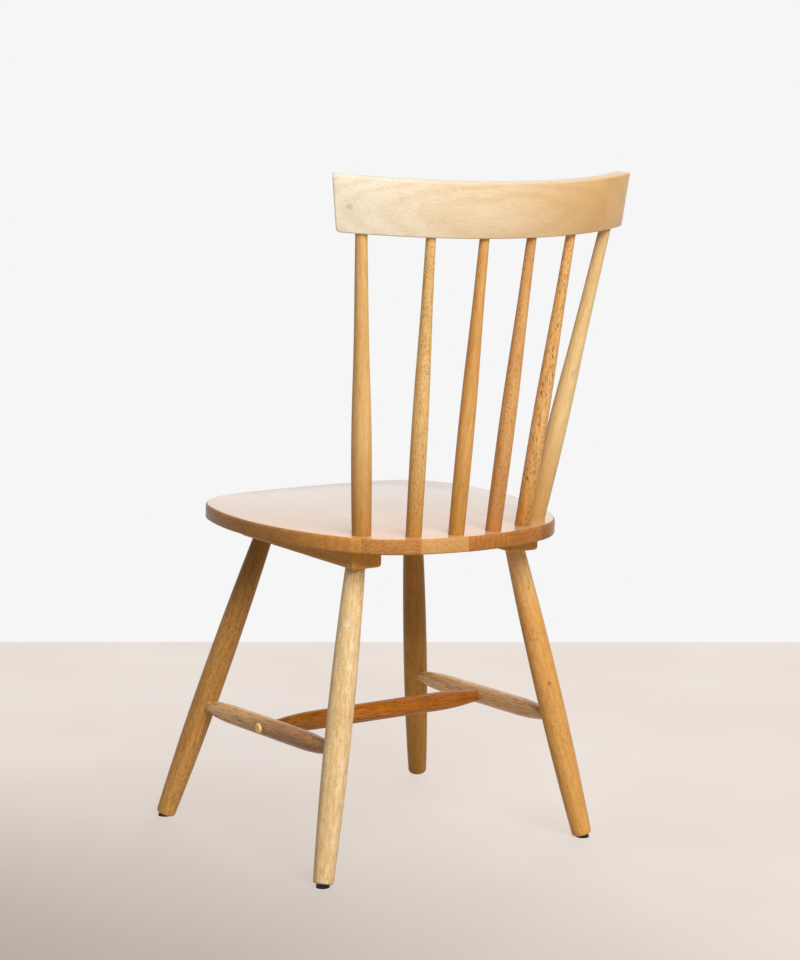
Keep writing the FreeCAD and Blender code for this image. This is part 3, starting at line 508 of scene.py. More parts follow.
@dataclass(frozen=True)
class Billet:
    """Where in the tree a piece was sawn from, which is what its figure follows.

    Attributes:
        from_heart: Distance from the heart of the tree to the piece's middle line.
        turn: Degrees by which the piece is turned about its own length.
        slant: Degrees between the piece's length and the grain.
        along: Place along the trunk, which sets one piece's pattern apart from another's.
    """

    from_heart: float
    turn: float
    slant: float
    along: float

    def in_trunk(self) -> Matrix:
        """Gives the transform from a piece, with Z along its length, to the trunk."""
        return (
            Matrix.Translation((self.from_heart, 0, self.along))
            @ Matrix.Rotation(math.radians(self.slant), 4, "Y")
            @ Matrix.Rotation(math.radians(self.turn), 4, "Z")
        )


@dataclass(frozen=True)
class Stock:
    """The wood of one piece: where it was sawn from, and how it looks."""

    billet: Billet
    wood: LacqueredRubberwood


Stocks = dict[str, Stock]  # by the name of the solid that a piece stands for


@dataclass(frozen=True)
class Station:
    """One named place on the outline of a turned piece."""

    height: float
    diameter: float
    lead: Lead = Lead.STRAIGHT


def add_object(data: bpy.types.ID) -> bpy.types.Object:
    """Makes an object of a mesh, a camera or a lamp, and adds it to the scene.

    Args:
        data: What the object shows. It gives the object its name.

    Returns:
        The object.
    """
    thing = bpy.data.objects.new(data.name, data)
    bpy.context.scene.collection.objects.link(thing)
    return thing


def to_mesh(bm: BMesh, name: str, finish: bpy.types.Material) -> bpy.types.Object:
    """Turns a finished bmesh, which is freed, into an object.

    Args:
        bm: The shape, in metres.
        name: Name of the mesh and of the object.
        finish: Its material.

    Returns:
        The object.
    """
    mesh = bpy.data.meshes.new(name)
    bm.to_mesh(mesh)
    bm.free()
    mesh.materials.append(finish)
    return add_object(mesh)


def facing(way: Vector) -> Matrix:
    """Gives the turn that lays the Z axis along a direction.

    Args:
        way: The direction.

    Returns:
        The turn, as a transform.
    """
    return way.to_track_quat("Z", "Y").to_matrix().to_4x4()


class WoodWork:
    """The steps that the makers of the wooden pieces share. Their meshes are in millimetres."""

    def swing(
        self, bm: BMesh, tip: BMVert, centre: Vector, axis: Point, angle: float, steps: int
    ) -> BMVert:
        """Spins an outline's last point about a centre, and gives its new last point."""
        spun = bmesh.ops.spin(bm, geom=[tip], cent=centre, axis=axis, angle=angle, steps=steps)
        return next(item for item in spun["geom_last"] if isinstance(item, BMVert))

    def saw(self, bm: BMesh, at: Vector, way: Vector) -> None:
        """Saws off what lies beyond a plane, seen along the way, and closes the cut."""
        cut = bmesh.ops.bisect_plane(
            bm, geom=[*bm.verts, *bm.edges, *bm.faces], plane_co=at, plane_no=way,
            clear_outer=True)
        rim = [item for item in cut["geom_cut"] if isinstance(item, BMEdge)]
        bmesh.ops.contextual_create(bm, geom=rim)

    def round_edges(self, bm: BMesh, edges: list[BMEdge], size: float, steps: int) -> None:
        """Rounds edges over, with a number of faces across the round."""
        bmesh.ops.bevel(
            bm, geom=edges, offset=size, offset_type="OFFSET", segments=steps, profile=0.5,
            affect="EDGES", material=-1)

    def close_up(self, bm: BMesh) -> None:
        """Merges doubled points, then turns every face outwards."""
        bmesh.ops.remove_doubles(bm, verts=bm.verts, dist=LAP)
        bmesh.ops.recalc_face_normals(bm, faces=bm.faces)

    def write_grain(self, bm: BMesh, to_trunk: Matrix) -> None:
        """Stores on each point its place in the trunk, for the figure of the wood."""
        layer = bm.verts.layers.float_vector.new(GRAIN)
        for vert in bm.verts:
            vert[layer] = to_trunk @ vert.co

    def publish(
        self, bm: BMesh, node: str, slot: str, wood: LacqueredRubberwood, place: Matrix
    ) -> None:
        """Turns a finished bmesh into a piece that stands for one of the frame's solids.

        Args:
            bm: The piece in its own place. It is freed.
            node: Name of the solid that the piece stands for.
            slot: The record's material slot. It is not used.
            wood: Wood of the piece.
            place: Transform from the piece's own place to the chair's.
        """
        for face in bm.faces:
            face.smooth = True
        for edge in bm.edges:
            edge.smooth = not edge.is_manifold or edge.calc_face_angle(0.0) < SOFT_BEND
        bmesh.ops.transform(bm, matrix=Matrix.Scale(MM, 4) @ place, verts=bm.verts)
        piece = to_mesh(bm, f"{node}_wood", wood.material())
        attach(piece, "root")
        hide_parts(node)
        LOG.info("%s: %d faces, in %s", piece.name, len(piece.data.polygons), wood.name)


@dataclass(frozen=True)
class TurnedPiece(WoodWork):
    """A round piece from the lathe, laid from one point to another.

    Attributes:
        node: Name of the solid that it stands for.
        slot: The record's material slot.
        start: Where the outline's height is zero.
        aim: A point that the piece's middle line runs through.
        stations: The outline, from the start on.
        stock: Its wood.
        steps: Number of faces round it.
        arc_edge: About how long the edges of an arc are.
        arc_steps: Least number of edges of an arc.
    """

    node: str
    slot: str
    start: Point
    aim: Point
    stations: tuple[Station, ...]
    stock: Stock
    steps: int = 48
    arc_edge: float = 9
    arc_steps: int = 4

    def arc(self, bm: BMesh, tip: BMVert, station: Station, lead: Lead, way: Vector) -> BMVert:
        """Draws an arc of the outline.

        Args:
            bm: The bmesh with the outline so far.
            tip: Last point of the outline.
            station: Where the arc ends.
            lead: Which end of the arc stands upright, or that it flows on.
            way: Direction in which the outline arrives at the tip.

        Returns:
            The outline's new last point.
        """
        first, second = tip.co.copy(), Vector((station.diameter / 2, 0, station.height))
        chord = second - first
        across = Vector((1, 0, 0))
        pivot = second if lead is Lead.SWELLING else first
        if lead is Lead.FLOWING:
            across = Vector((-way.z, 0, way.x))
        reach = ((first + second) / 2 - pivot).dot(chord) / across.dot(chord)
        centre = pivot + across * reach
        sweep = (first - centre).angle(second - centre)
        if (first - centre).cross(second - centre).y < 0:
            sweep = -sweep
        steps = max(self.arc_steps, round(chord.length / self.arc_edge))
        return self.swing(bm, tip, centre, (0, 1, 0), sweep, steps)

    def outline(self, bm: BMesh) -> None:
        """Draws the half outline from station to station, closed on the middle line."""
        tip = bm.verts.new((0, 0, self.stations[0].height))
        lead, way = Lead.STRAIGHT, Vector((1, 0, 0))
        for station in (*self.stations, replace(self.stations[-1], diameter=0.0)):
            if lead is Lead.STRAIGHT:
                tip = bmesh.ops.extrude_vert_indiv(bm, verts=[tip])["verts"][0]
                tip.co = (station.diameter / 2, 0, station.height)
            else:
                tip = self.arc(bm, tip, station, lead, way)
            way = tip.co - tip.link_edges[0].other_vert(tip).co
            lead = station.lead

    def build(self) -> None:
        """Turns the outline about the middle line and lays the piece in its place."""
        bm = bmesh.new()
        self.outline(bm)
        bmesh.ops.spin(
            bm, geom=[*bm.verts, *bm.edges], cent=(0, 0, 0), axis=(0, 0, 1),
            angle=2 * math.pi, steps=self.steps, use_merge=True)
        self.close_up(bm)
        self.write_grain(bm, self.stock.billet.in_trunk())
        place = Matrix.Translation(self.start) @ facing(Vector(self.aim) - Vector(self.start))
        self.publish(bm, self.node, self.slot, self.stock.wood, place)


def on_side(point: Point, side: int) -> Point:
    """Gives a point's twin on one side of the chair.

    Args:
        point: The point on the sitter's left.
        side: 1 for the left, or -1 for the right.

    Returns:
        The twin.
    """
    return (point[0] * side, point[1], point[2])


@dataclass(frozen=True)
class SpindleTurning:
    """Outline sizes of a spindle, from the seat up."""

    base: float
    belly: float
    turn: float
    waist: float
    top: float
    belly_height: float
    turn_height: float
    waist_height: float


@dataclass(frozen=True)
class SpindlePlace:
    """Feet, aim and outline of one pair of spindles."""

    foot: Point
    aim: Point
    turning: SpindleTurning


THICK = SpindleTurning(25.2, 26.4, 22.6, 17.9, 15.3, 90, 198, 295)
SLIM = SpindleTurning(20.7, 21.3, 18.3, 14.8, 12.5, 105, 225, 300)


@dataclass
class SpindleBack:
    """Six turned spindles, socketed in the seat and in the crest rail."""

    seat_socket: float = 15
    crest_socket: float = 22
    collar: float = 5
    outer: SpindlePlace = SpindlePlace((138.8, 126.8, 445.268), (190.9, 203.117, 842.367), THICK)
    middle: SpindlePlace = SpindlePlace((86.5, 167.5, 444.202), (109.1, 234.756, 837.356), SLIM)
    inner: SpindlePlace = SpindlePlace((29.3, 180.5, 443.862), (36.8, 247.6, 835.321), SLIM)

    def stations(self, place: SpindlePlace) -> tuple[Station, ...]:
        """Gives the outline of one spindle, from the bottom of its seat socket up."""
        turning = place.turning
        whole = math.dist(place.foot, place.aim)
        rail = whole - self.crest_socket / 2
        return (
            Station(-self.seat_socket, turning.base),
            Station(self.collar, turning.base, Lead.SWELLING),
            Station(turning.belly_height, turning.belly, Lead.FALLING),
            Station(turning.turn_height, turning.turn, Lead.FLOWING),
            Station(turning.waist_height, turning.waist),
            Station(rail - self.collar, turning.top),
            Station(whole + self.crest_socket / 2, turning.top),
        )

    def build(self, stocks: Stocks) -> None:
        """Builds the six spindles."""
        for side_name, side in SIDES.items():
            for pair in ("outer", "middle", "inner"):
                place: SpindlePlace = getattr(self, pair)
                node = f"{side_name}_{pair}_spindle"
                TurnedPiece(
                    node, "spindle_wood", on_side(place.foot, side), on_side(place.aim, side),
                    self.stations(place), stocks[node]).build()


@dataclass
class LegSet:
    """Four turned legs that taper from a belly to the foot and to the batten."""

    foot_diameter: float = 26.8
    belly_diameter: float = 34.2
    top_diameter: float = 26.2
    belly_height: float = 195
    foot_round: float = 3
    collar: float = 5
    socket: float = 21
    front_foot: Point = (214.8, -255.8, 4.0)
    front_top: Point = (123.6, -139.5, 405.225)
    rear_foot: Point = (209.5, 148.0, 4.0)
    rear_top: Point = (127.9, 96.1, 399.056)

    def stations(self, whole: float) -> tuple[Station, ...]:
        """Gives the outline of a leg of a given length, from the foot up."""
        return (
            Station(0, self.foot_diameter - 2 * self.foot_round, Lead.SWELLING),
            Station(self.foot_round, self.foot_diameter, Lead.SWELLING),
            Station(self.belly_height, self.belly_diameter, Lead.FALLING),
            Station(whole - self.collar, self.top_diameter),
            Station(whole + self.socket, self.top_diameter),
        )

    def build(self, stocks: Stocks) -> None:
        """Builds the four legs."""
        for side_name, side in SIDES.items():
            for end in ("front", "rear"):
                foot: Point = getattr(self, f"{end}_foot")
                top: Point = getattr(self, f"{end}_top")
                node = f"{side_name}_{end}_leg"
                TurnedPiece(
                    node, "leg_wood", on_side(foot, side), on_side(top, side),
                    self.stations(math.dist(foot, top)), stocks[node]).build()


@dataclass
class StretcherFrame:
    """Two side stretchers, the cross stretcher between them and the plugs over its screws."""

    middle_diameter: float = 26
    end_diameter: float = 17
    taper: float = 60
    collar: float = 5
    leg_tenon: float = 17.1
    cross_tenon: float = 11
    front_joint: Point = (178.545, -209.567, 163.5)
    rear_joint: Point = (175.625, 126.455, 168.0)
    cross_tip: Point = (175.085, -41.556, 165.75)
    plug_foot: Point = (190.085, -41.556, 165.75)
    plug_stem_diameter: float = 9
    plug_stem: float = 3.5
    plug_diameter: float = 13.5
    plug_crown: float = 7
    plug_rim: float = 1
    plug_height: float = 3
    plug_steps: int = 32

    def stations(self, whole: float, tenon: float) -> tuple[Station, ...]:
        """Gives the outline of a stretcher, with plain tenons and bullet-shaped ends."""
        near = tenon + self.collar
        return (
            Station(0, self.end_diameter),
            Station(near, self.end_diameter, Lead.SWELLING),
            Station(near + self.taper, self.middle_diameter),
            Station(whole - near - self.taper, self.middle_diameter, Lead.FALLING),
            Station(whole - near, self.end_diameter),
            Station(whole, self.end_diameter),
        )

    def plug_stations(self) -> tuple[Station, ...]:
        """Gives the outline of a button plug, from its stem to its crown."""
        return (
            Station(-self.plug_stem, self.plug_stem_diameter),
            Station(0, self.plug_stem_diameter),
            Station(0, self.plug_diameter),
            Station(self.plug_rim, self.plug_diameter, Lead.FALLING),
            Station(self.plug_height, self.plug_crown),
        )

    def build_stretcher(
        self, node: str, start: Point, end: Point, tenon: float, stocks: Stocks
    ) -> None:
        """Builds one stretcher between two points."""
        TurnedPiece(
            node, "stretcher_wood", start, end, self.stations(math.dist(start, end), tenon),
            stocks[node]).build()

    def build(self, stocks: Stocks) -> None:
        """Builds the side stretchers with their plugs, and the cross stretcher."""
        for side_name, side in SIDES.items():
            self.build_stretcher(
                f"{side_name}_side_stretcher", on_side(self.front_joint, side),
                on_side(self.rear_joint, side), self.leg_tenon, stocks)
            node = f"{side_name}_stretcher_plug"
            foot = on_side(self.plug_foot, side)
            TurnedPiece(
                node, "plug_wood", foot, (foot[0] + side, foot[1], foot[2]),
                self.plug_stations(), stocks[node], self.plug_steps).build()
        self.build_stretcher(
            "cross_stretcher", self.cross_tip, on_side(self.cross_tip, -1), self.cross_tenon,
            stocks)


@dataclass
class CrestRail(WoodWork):
    """The curved board along the top of the back, which leans back and flares at its ends.

    The blank overruns each end by some degrees before it is sawn. The oval is where the board
    was sawn nearly along the growth bands: how far along it lies, and how strongly the wood
    bows towards the ends.
    """

    radius: float = 413.7
    thickness: float = 20
    height: float = 69.1
    upper_half: float = 225.7
    flare: float = 8.8
    corner_round: float = 5
    corner_steps: int = 6
    corner_slack: float = 1
    edge_round: float = 2
    edge_steps: int = 3
    rake: float = 9
    origin: Point = (0, 247.5, 824.2)
    steps: int = 72
    overrun: float = 4
    oval_at: float = -10
    oval_bow: float = 18

    def blank(self) -> BMesh:
        """Spins the board's cross-section about the centre of its curve, as an open tube."""
        bm = bmesh.new()
        centre = Vector((0, -self.radius, 0))
        bmesh.ops.create_grid(bm, x_segments=1, y_segments=1, size=0.5)
        bmesh.ops.delete(bm, geom=bm.faces[:], context="FACES_ONLY")
        bmesh.ops.scale(bm, vec=(self.thickness, self.height, 1), verts=bm.verts)
        upright = Matrix.Rotation(QUARTER_TURN, 4, "Z") @ Matrix.Rotation(QUARTER_TURN, 4, "X")
        bmesh.ops.transform(bm, matrix=upright, verts=bm.verts)
        bmesh.ops.translate(bm, vec=(0, 0, self.height / 2), verts=bm.verts)
        reach = math.asin(self.upper_half / self.radius) + math.radians(self.overrun)
        bmesh.ops.rotate(
            bm, cent=centre, matrix=Matrix.Rotation(-reach, 3, "Z"), verts=bm.verts)
        bmesh.ops.spin(
            bm, geom=[*bm.verts, *bm.edges], cent=centre, axis=(0, 0, 1), angle=2 * reach,
            steps=self.steps)
        self.close_up(bm)
        return bm

    def saw_ends(self, bm: BMesh) -> None:
        """Saws both ends to their flare."""
        lean = math.asin(self.upper_half / self.radius)
        slope = math.atan(self.flare / (self.height * math.cos(lean)))
        for side in (1, -1):
            corner = Vector((self.upper_half * side, self.radius * (math.cos(lean) - 1),
                             self.height))
            outward = Vector((math.cos(lean) * side, -math.sin(lean), 0))
            self.saw(bm, corner, outward * math.cos(slope) - Vector((0, 0, math.sin(slope))))
        self.close_up(bm)

    def soften(self, bm: BMesh) -> None:
        """Rounds the two lower corners, then every long and short edge."""
        # A corner lies at the bottom and is as long as the board is thick, or nearly so.
        corners = [
            edge for edge in bm.edges
            if edge.calc_face_angle(0.0) > HARD_BEND
            and all(vert.co.z < LAP for vert in edge.verts)
            and abs(edge.calc_length() - self.thickness) < self.corner_slack
        ]
        self.round_edges(bm, corners, self.corner_round, self.corner_steps)
        edges = [edge for edge in bm.edges if edge.calc_face_angle(0.0) > HARD_BEND]
        self.round_edges(bm, edges, self.edge_round, self.edge_steps)
        self.close_up(bm)

    def write_bent_grain(self, bm: BMesh, billet: Billet) -> None:
        """Stores the place in the trunk, along the curve, bowed so that an oval shows."""
        layer = bm.verts.layers.float_vector.new(GRAIN)
        to_trunk = billet.in_trunk()
        for vert in bm.verts:
            angle = math.atan2(vert.co.x, vert.co.y + self.radius)
            along = angle * self.radius
            deep = math.hypot(vert.co.x, vert.co.y + self.radius) - self.radius
            bow = self.oval_bow * ((along - self.oval_at) / self.upper_half) ** 2
            vert[layer] = to_trunk @ Vector((deep + bow, vert.co.z - self.height / 2, along))

    def build(self, stock: Stock) -> None:
        """Builds the rail and leans it back."""
        bm = self.blank()
        self.saw_ends(bm)
        self.soften(bm)
        self.write_bent_grain(bm, stock.billet)
        place = Matrix.Translation(self.origin) @ Matrix.Rotation(
            -math.radians(self.rake), 4, "X")
        self.publish(bm, "crest_rail", "crest_wood", stock.wood, place)


@dataclass(frozen=True)
class OutlineArc:
    """One arc of the seat's outline: its centre, its turn in degrees and its faces."""

    centre: tuple[float, float]
    turn: float
    steps: int


@dataclass
class SeatPanel(WoodWork):
    """Seven boards glued edge to edge and sawn to the seat's outline."""

    origin: Point = (0, -53.9, 450)
    slope: float = 1.5
    thickness: float = 20
    front_reach: float = 176.5
    top_round: float = 3.4
    top_steps: int = 4
    under_round: float = 2.4
    under_steps: int = 3
    mirror_gap: float = 0.05
    board_width: float = 65
    joints: tuple[float, ...] = (154, 89, 24, -41, -106, -171)
    slots: tuple[str, ...] = (
        "seat_brown", "seat_red", "seat_yellow", "seat_brown", "seat_yellow", "seat_red",
        "seat_yellow")
    arcs: tuple[OutlineArc, ...] = (
        OutlineArc((0, 853.5), 6.6005, 24),
        OutlineArc((106.716, -68.746), 68.1816, 30),
        OutlineArc((-146, 0), 46.5596, 56),
        OutlineArc((63.933, 127.851), 38.6998, 20),
        OutlineArc((0, -48.2), 19.9585, 22),
    )

    def slab(self) -> BMesh:
        """Draws the whole seat as one slab with rounded rims, its top at zero.

        Returns:
            The slab.
        """
        bm = bmesh.new()
        tip = bm.verts.new((0, -self.front_reach, 0))
        for arc in self.arcs:
            tip = self.swing(
                bm, tip, (*arc.centre, 0), (0, 0, 1), math.radians(arc.turn), arc.steps)
        bmesh.ops.mirror(
            bm, geom=[*bm.verts, *bm.edges], matrix=Matrix.Identity(4),
            merge_dist=self.mirror_gap, axis="X")
        bmesh.ops.contextual_create(bm, geom=bm.edges[:])
        grown = bmesh.ops.extrude_face_region(bm, geom=bm.faces[:])
        bmesh.ops.translate(
            bm, vec=(0, 0, -self.thickness),
            verts=[item for item in grown["geom"] if isinstance(item, BMVert)])
        self.close_up(bm)
        for level, size, segments in (
            (0, self.top_round, self.top_steps),
            (-self.thickness, self.under_round, self.under_steps),
        ):
            rim = [edge for edge in bm.edges
                   if all(abs(vert.co.z - level) < LAP for vert in edge.verts)]
            self.round_edges(bm, rim, size, segments)
        return bm

    def board(self, slab: BMesh, left: float | None, right: float | None) -> BMesh:
        """Saws the board between two joints, or beyond one, out of a copy of the slab."""
        bm = slab.copy()
        for joint, way in ((left, 1), (right, -1)):
            if joint is not None:
                self.saw(bm, Vector((joint, 0, 0)), Vector((way, 0, 0)))
        self.close_up(bm)
        return bm

    def build(self, stocks: Stocks) -> None:
        """Builds the seven boards, from the sitter's left to the right."""
        slab = self.slab()
        place = Matrix.Translation(self.origin) @ Matrix.Rotation(
            -math.radians(self.slope), 4, "X")
        bounds = (None, *self.joints, None)
        upright = Matrix.Rotation(QUARTER_TURN, 4, "X")
        boards = zip(bounds, bounds[1:], self.slots)
        for number, (left, right, slot) in enumerate(boards, start=1):
            node = f"seat_board_{number}"
            middle = (left - self.board_width / 2) if left is not None else (
                self.joints[0] + self.board_width / 2)
            bm = self.board(slab, left, right)
            to_board = Matrix.Translation((-middle, 0, self.thickness / 2))
            self.write_grain(bm, stocks[node].billet.in_trunk() @ upright @ to_board)
            # Marks the top face, which the wood paints paler as a painted sheen.
            top_face = bm.verts.layers.float.new(TOP_FACE)
            for vert in bm.verts:
                vert[top_face] = float(vert.co.z > -LAP)
            self.publish(bm, node, slot, stocks[node].wood, place)
        slab.free()


@dataclass
class FrameFittings:
    """The frame's own solids that keep their shape and get their finish here."""

    battens: tuple[str, ...] = ("left_batten", "right_batten")
    steel: tuple[str, ...] = (
        "left_batten_screws", "right_batten_screws", "left_stretcher_screw",
        "right_stretcher_screw", "glide_nails")
    glides: tuple[str, ...] = (
        "left_front_glide", "right_front_glide", "left_rear_glide", "right_rear_glide")

    def dress(self, nodes: dict[str, bpy.types.Object], wood: LacqueredRubberwood) -> None:
        """Gives each solid its material, and the battens this wood."""
        for names, finish in (
            (self.battens, wood.material()),
            (self.steel, ZincPlatedSteel().material()),
            (self.glides, MouldedNylon().material()),
        ):
            for name in names:
                for slot in nodes[name].material_slots:
                    slot.material = finish
                LOG.info("%s: the frame's solid, in %s", name, finish.name)


@dataclass(frozen=True)
class SoftLamp:
    """A soft square lamp that looks at the middle of the chair.

    Attributes:
        name: Its name.
        offset: Metres to the camera's right, up, and back towards the camera.
        size: Length of its sides, in metres.
        power: Its power in watts.
    """

    name: str
    offset: Point
    size: float
    power: float


@dataclass
class Studio:
    """Floor, light, background and camera, in metres and degrees."""

    camera_at: Point = (1.8611, 2.7429, 0.9564)
    azimuth: float = 145.753
    elevation: float = 8.004
    roll: float = 0.32
    lens: float = 93.525
    sensor: float = 36
    sight: float = 50
    floor_half: float = 6
    floor_edge: float = 4.608
    edge_turn: float = 1.54
    background: str = "f6f6f6"
    room: str = "fffdfa"
    ambient: float = 0.12
    target: Point = (0, 0, 0.45)
    lamps: tuple[SoftLamp, ...] = (
        SoftLamp("key_lamp", (1.4, 3.54, 3.98), 3.2, 375),
        SoftLamp("far_lamp", (0.6, 2.4, -4.0), 3.2, 170),
    )

    def axes(self) -> tuple[Vector, Vector, Vector]:
        """Gives the directions to the right, upwards and back towards the camera."""
        turn, lift = math.radians(self.azimuth), math.radians(self.elevation)
        back = Vector((math.sin(turn) * math.cos(lift), -math.cos(turn) * math.cos(lift),
                       math.sin(lift)))
        right = Vector((math.cos(turn), math.sin(turn), 0))
        return right, back.cross(right), back

    def level(self) -> Vector:
        """Gives the direction along the floor, back towards the camera."""
        back = self.axes()[2]
        return Vector((back.x, back.y, 0)).normalized()

    def camera(self) -> None:
        """Sets the camera up at the photograph's viewing angle."""
        data = bpy.data.cameras.new("studio_camera")
        data.lens = self.lens
        data.sensor_width = self.sensor
        data.clip_end = self.sight
        camera = add_object(data)
        lean = Matrix.Rotation(math.radians(self.roll), 4, "Z")
        turned = Matrix(self.axes()).transposed().to_4x4()
        camera.matrix_world = Matrix.Translation(self.camera_at) @ turned @ lean
        bpy.context.scene.camera = camera

    def floor(self) -> None:
        """Lays the floor, with one straight edge across the view."""
        right, level = self.axes()[0], self.level()
        foot = Vector((self.camera_at[0], self.camera_at[1], 0))
        bm = bmesh.new()
        bmesh.ops.create_grid(bm, x_segments=1, y_segments=1, size=self.floor_half)
        turn = Matrix((-right, level, Vector((0, 0, 1)))).transposed()
        bmesh.ops.rotate(bm, cent=(0, 0, 0), matrix=turn, verts=bm.verts)
        bmesh.ops.translate(
            bm, vec=foot - level * (self.floor_edge - self.floor_half), verts=bm.verts)
        bmesh.ops.rotate(
            bm, cent=foot - level * self.floor_edge,
            matrix=Matrix.Rotation(math.radians(self.edge_turn), 3, "Z"), verts=bm.verts)
        floor = to_mesh(bm, "studio_floor", PaintedStudioFloor().material())

    def hang(self, soft: SoftLamp) -> None:
        """Hangs one lamp."""
        target = Vector(self.target)
        aside, up, towards = soft.offset
        place = target + self.axes()[0] * aside + Vector((0, 0, up)) + self.level() * towards
        data = bpy.data.lights.new(soft.name, "AREA")
        data.size = soft.size
        data.energy = soft.power
        lamp = add_object(data)
        lamp.matrix_world = Matrix.Translation(place) @ facing(place - target)
        lamp.visible_camera = False
        lamp.visible_glossy = False  # so that the lacquer mirrors the pale wall alone

    def world(self) -> None:
        """Lights the room evenly, and shows a plain pale wall to the eye and in reflections."""
        world = bpy.data.worlds.new("studio")
        bpy.context.scene.world = world
        world.use_nodes = True
        world.node_tree.nodes.clear()
        recipe = Recipe(world.node_tree)
        room = recipe.add("Background", {
            "Color": linear(self.room), "Strength": self.ambient})
        wall = recipe.add("Background", {
            "Color": linear(self.background), "Strength": 1.0})
        recipe.show(recipe.seen(1.0, room, wall), "OutputWorld")

    def build(self) -> None:
        """Sets up the whole studio."""
        bpy.context.scene.view_settings.view_transform = "Standard"
        self.camera()
        self.floor()
        self.world()
        for soft in self.lamps:
            self.hang(soft)
        LOG.info("studio: camera, floor, world and %d lamps", len(self.lamps))


def choose(
    base: LacqueredRubberwood, mark: str, billet: tuple[float, float, float, float],
    pale: str, deep: str, **changes: object,
) -> Stock:
    """Chooses the wood of one piece.

    Args:
        base: A wood that it is like.
        mark: End of its material's name.
        billet: Values of its billet, in their order.
        pale: Its lighter wood.
        deep: The darker wood of its bands.
        changes: What else sets it apart from the base.

    Returns:
        Its stock.
    """
    wood = replace(base, name=f"rubberwood_{mark}", pale=pale, deep=deep, **changes)
    return Stock(Billet(*billet), wood)


GOLDEN = LacqueredRubberwood("rubberwood_golden", "dcae6c", "b9803e", "7a4a1e")
# The seat's face tone is a painted sheen on the top of the boards.
SEAT = replace(
    GOLDEN, name="rubberwood_board", rough=0.3, rough_spread=0.002, body_gloss=0.9, coat=1.0,
    coat_rough=0.08, relief=0.06, face="d8af8a", dash_cover=0.7, mottle_share=0.4)
SIDE_STRETCHER = replace(
    GOLDEN, dash_share=0.6, dash_cover=0.8, dash_mm=16.0, fibre_share=0.9,
    fibre_mm=(1.2, 60.0), body_gloss=0.2, coat=0.5)
BATTEN_WOOD = replace(
    GOLDEN, name="rubberwood_batten", pale="e5a94a", deep="c88631", vessel="6b3d18",
    grain_from=GrainFrom.LENGTHWISE)
# Painted sheen: the crest rail's wood is nearly white, and its tint turns it golden towards one
# end, so that the other end stays pale as a painted sheen.
WOOD_OF_CREST = choose(
    GOLDEN, "crest", (46, 0, 0.0, 150), "e8dfca", "d8c39d", vessel="bb8d50", band_mm=7,
    band_share=0.38, mottle_share=0.15, fibre_share=0.4, fibre_mm=(0.8, 40.0), dash_share=0.25,
    dash_cover=0.75, dash_mm=9.0, coat=1.0, coat_rough=0.15, bend=1.3, rough_spread=0.005,
    relief=0.05, knot=(75.7, -1.7, 365.0), knot_mm=3.0, fade="ecc281", fade_span=(340.0, -20.0))
# Painted shade: each spindle's tint darkens it towards its foot on the seat.
WOODS_OF_SPINDLES: Stocks = {
    "left_outer_spindle": choose(
        GOLDEN, "spindle_1", (60, 20, 1.0, 0), "e8bd7c", "ce9752", dash_share=0.3, dash_cover=0.4,
        fade="dac5a3", fade_span=(130, 10)),
    "left_middle_spindle": choose(
        GOLDEN, "spindle_2", (45, 100, 1.6, 700), "ecc484", "ce9953", dash_share=0.8,
        dash_cover=0.9, dash_mm=3.0, fade="dbc39b", fade_span=(830, 710)),
    "left_inner_spindle": choose(
        GOLDEN, "spindle_3", (52, 200, 2.2, 1500), "deaa65", "c0833e", dash_share=0.45,
        fade="eae1c2", fade_span=(1630, 1510)),
    "right_inner_spindle": choose(
        GOLDEN, "spindle_4", (30, 300, 1.8, 2300), "e0ac6d", "c2844b", dash_share=0.8,
        dash_cover=0.8, dash_mm=3.5, fade="dfcfba", fade_span=(2430, 2310)),
    "right_middle_spindle": choose(
        GOLDEN, "spindle_5", (38, 60, 1.4, 3100), "e9b774", "c58949", vessel="5f3616",
        dash_share=0.95, dash_cover=0.95, fade="dbcaa4", fade_span=(3230, 3110)),
    "right_outer_spindle": choose(
        GOLDEN, "spindle_6", (70, 150, 1.0, 3900), "e5c892", "d0a869", dash_share=0.3,
        dash_cover=0.4, fade="e4cfad", fade_span=(4030, 3910)),
}
# Painted light and shade: the tints darken legs 1 and 3 towards their tops under the seat, and
# leg 4 below its top, so that its top reads as lit.
WOODS_OF_LEGS: Stocks = {
    "left_front_leg": choose(
        GOLDEN, "leg_1", (40, 30, 2.0, 500), "d69f58", "a97436", vessel="5a3a14", dash_share=0.65,
        dash_cover=0.85, fibre_share=0.65, fade="c7cbaa", fade_span=(820, 905)),
    "left_rear_leg": choose(
        GOLDEN, "leg_2", (75, 80, 1.0, 1300), "f0d7a9", "cca05d", dash_share=0.5, dash_cover=0.8,
        mottle_share=0.6, vessel="8c5826", dash_mm=2.2, coat=0.3, coat_rough=0.35),
    "right_front_leg": choose(
        GOLDEN, "leg_3", (50, 140, 1.6, 2100), "d09847", "a4702b", dash_share=0.5, fade="ebebed",
        fade_span=(2230, 2390)),
    "right_rear_leg": choose(
        GOLDEN, "leg_4", (45, 230, 2.4, 2900), "f4c687", "d29d57", dash_share=0.6, dash_cover=0.7,
        knot=(46.1, -15.0, 3119.1), fade="e9d9b6", fade_span=(3290, 3210)),
}
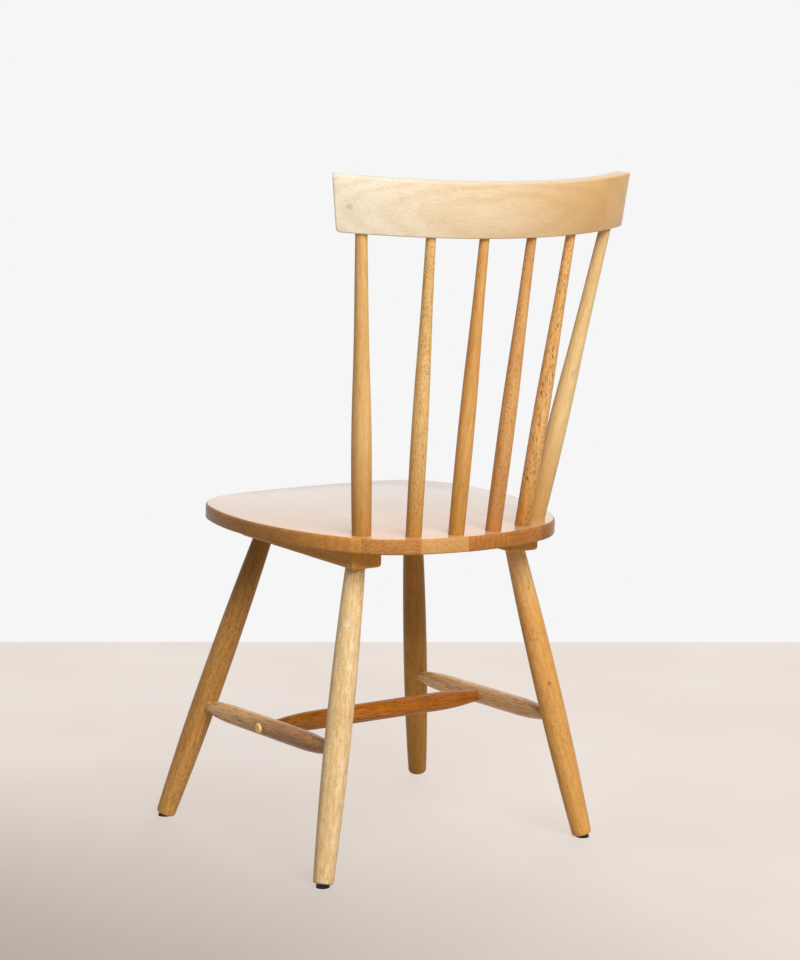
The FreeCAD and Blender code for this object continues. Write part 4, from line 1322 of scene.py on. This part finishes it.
# Painted shade: the tints darken the side stretchers towards the rear and the cross stretcher
# towards the sitter's left end.
WOODS_OF_STRETCHERS: Stocks = {
    "left_side_stretcher": choose(
        SIDE_STRETCHER, "stretcher_1", (28, 40, 1.8, 400), "f5c17d", "b98650", vessel="3c2210",
        fade="bba48a", fade_span=(470, 610)),
    "right_side_stretcher": choose(
        SIDE_STRETCHER, "stretcher_2", (34, 120, 1.4, 1700), "facc8a", "fabb6f",
        vessel="4b2c16", fade="dedce6", fade_span=(1770, 1950)),
    "cross_stretcher": choose(
        GOLDEN, "stretcher_3", (36, 210, 2.2, 2600), "bf7418", "914d09", vessel="4a220a",
        dash_share=0.65, dash_cover=0.8, dash_mm=13.0, fibre_share=0.9, fibre_mm=(1.3, 45.0),
        coat=0.35, fade="d6e0fc", fade_span=(2700, 2620)),
    "left_stretcher_plug": choose(
        GOLDEN, "plug_1", (90, 0, 0.0, 3300), "facd80", "fab962", dash_share=0.3, coat=1.0,
        coat_rough=0.3),
    "right_stretcher_plug": choose(
        GOLDEN, "plug_2", (80, 90, 0.0, 3600), "fbc886", "efac62", dash_share=0.3),
}
# Painted shade: board 1's tint darkens one end, and board 6's darker wood is partly its own tone
# and partly painted shade.
WOODS_OF_SEAT: Stocks = {
    "seat_board_1": choose(
        SEAT, "board_1", (60, 10, 1.2, 300), "e8a251", "b1753b", knot=(76.0, 3.5, 409.1),
        knot_mm=1.5, fade="cbccd7", fade_span=(520, 390)),
    "seat_board_2": choose(
        SEAT, "board_2", (32, 70, 3.0, 900), "c88d4e", "965c2a", band_mm=5.0, band_share=0.3,
        fibre_share=0.6, dash_share=0.65),
    "seat_board_3": choose(
        SEAT, "board_3", (80, 120, 1.0, 1400), "d5a363", "b77f42", dash_share=0.35),
    "seat_board_4": choose(
        SEAT, "board_4", (26, 200, 5.0, 2000), "c48440", "8e511e", band_mm=9.0, band_share=0.35,
        fibre_share=0.6),
    "seat_board_5": choose(
        SEAT, "board_5", (70, 260, 1.4, 2700), "bf7d3d", "8c5220", band_share=0.35,
        fibre_share=0.6),
    "seat_board_6": choose(
        SEAT, "board_6", (45, 310, 2.0, 3300), "a36626", "7b4615", dash_share=0.65),
    "seat_board_7": choose(
        SEAT, "board_7", (55, 20, 1.8, 3800), "d3a15e", "b57d3e", dash_share=0.35),
}


def main() -> None:
    """Builds the chair piece by piece, then the studio."""
    logging.basicConfig(level=logging.INFO, format="%(message)s")
    SeatPanel().build(WOODS_OF_SEAT)
    LegSet().build(WOODS_OF_LEGS)
    StretcherFrame().build(WOODS_OF_STRETCHERS)
    SpindleBack().build(WOODS_OF_SPINDLES)
    CrestRail().build(WOOD_OF_CREST)
    FrameFittings().dress(frame["nodes"], BATTEN_WOOD)
    Studio().build()


if __name__ == "__main__":
    main()
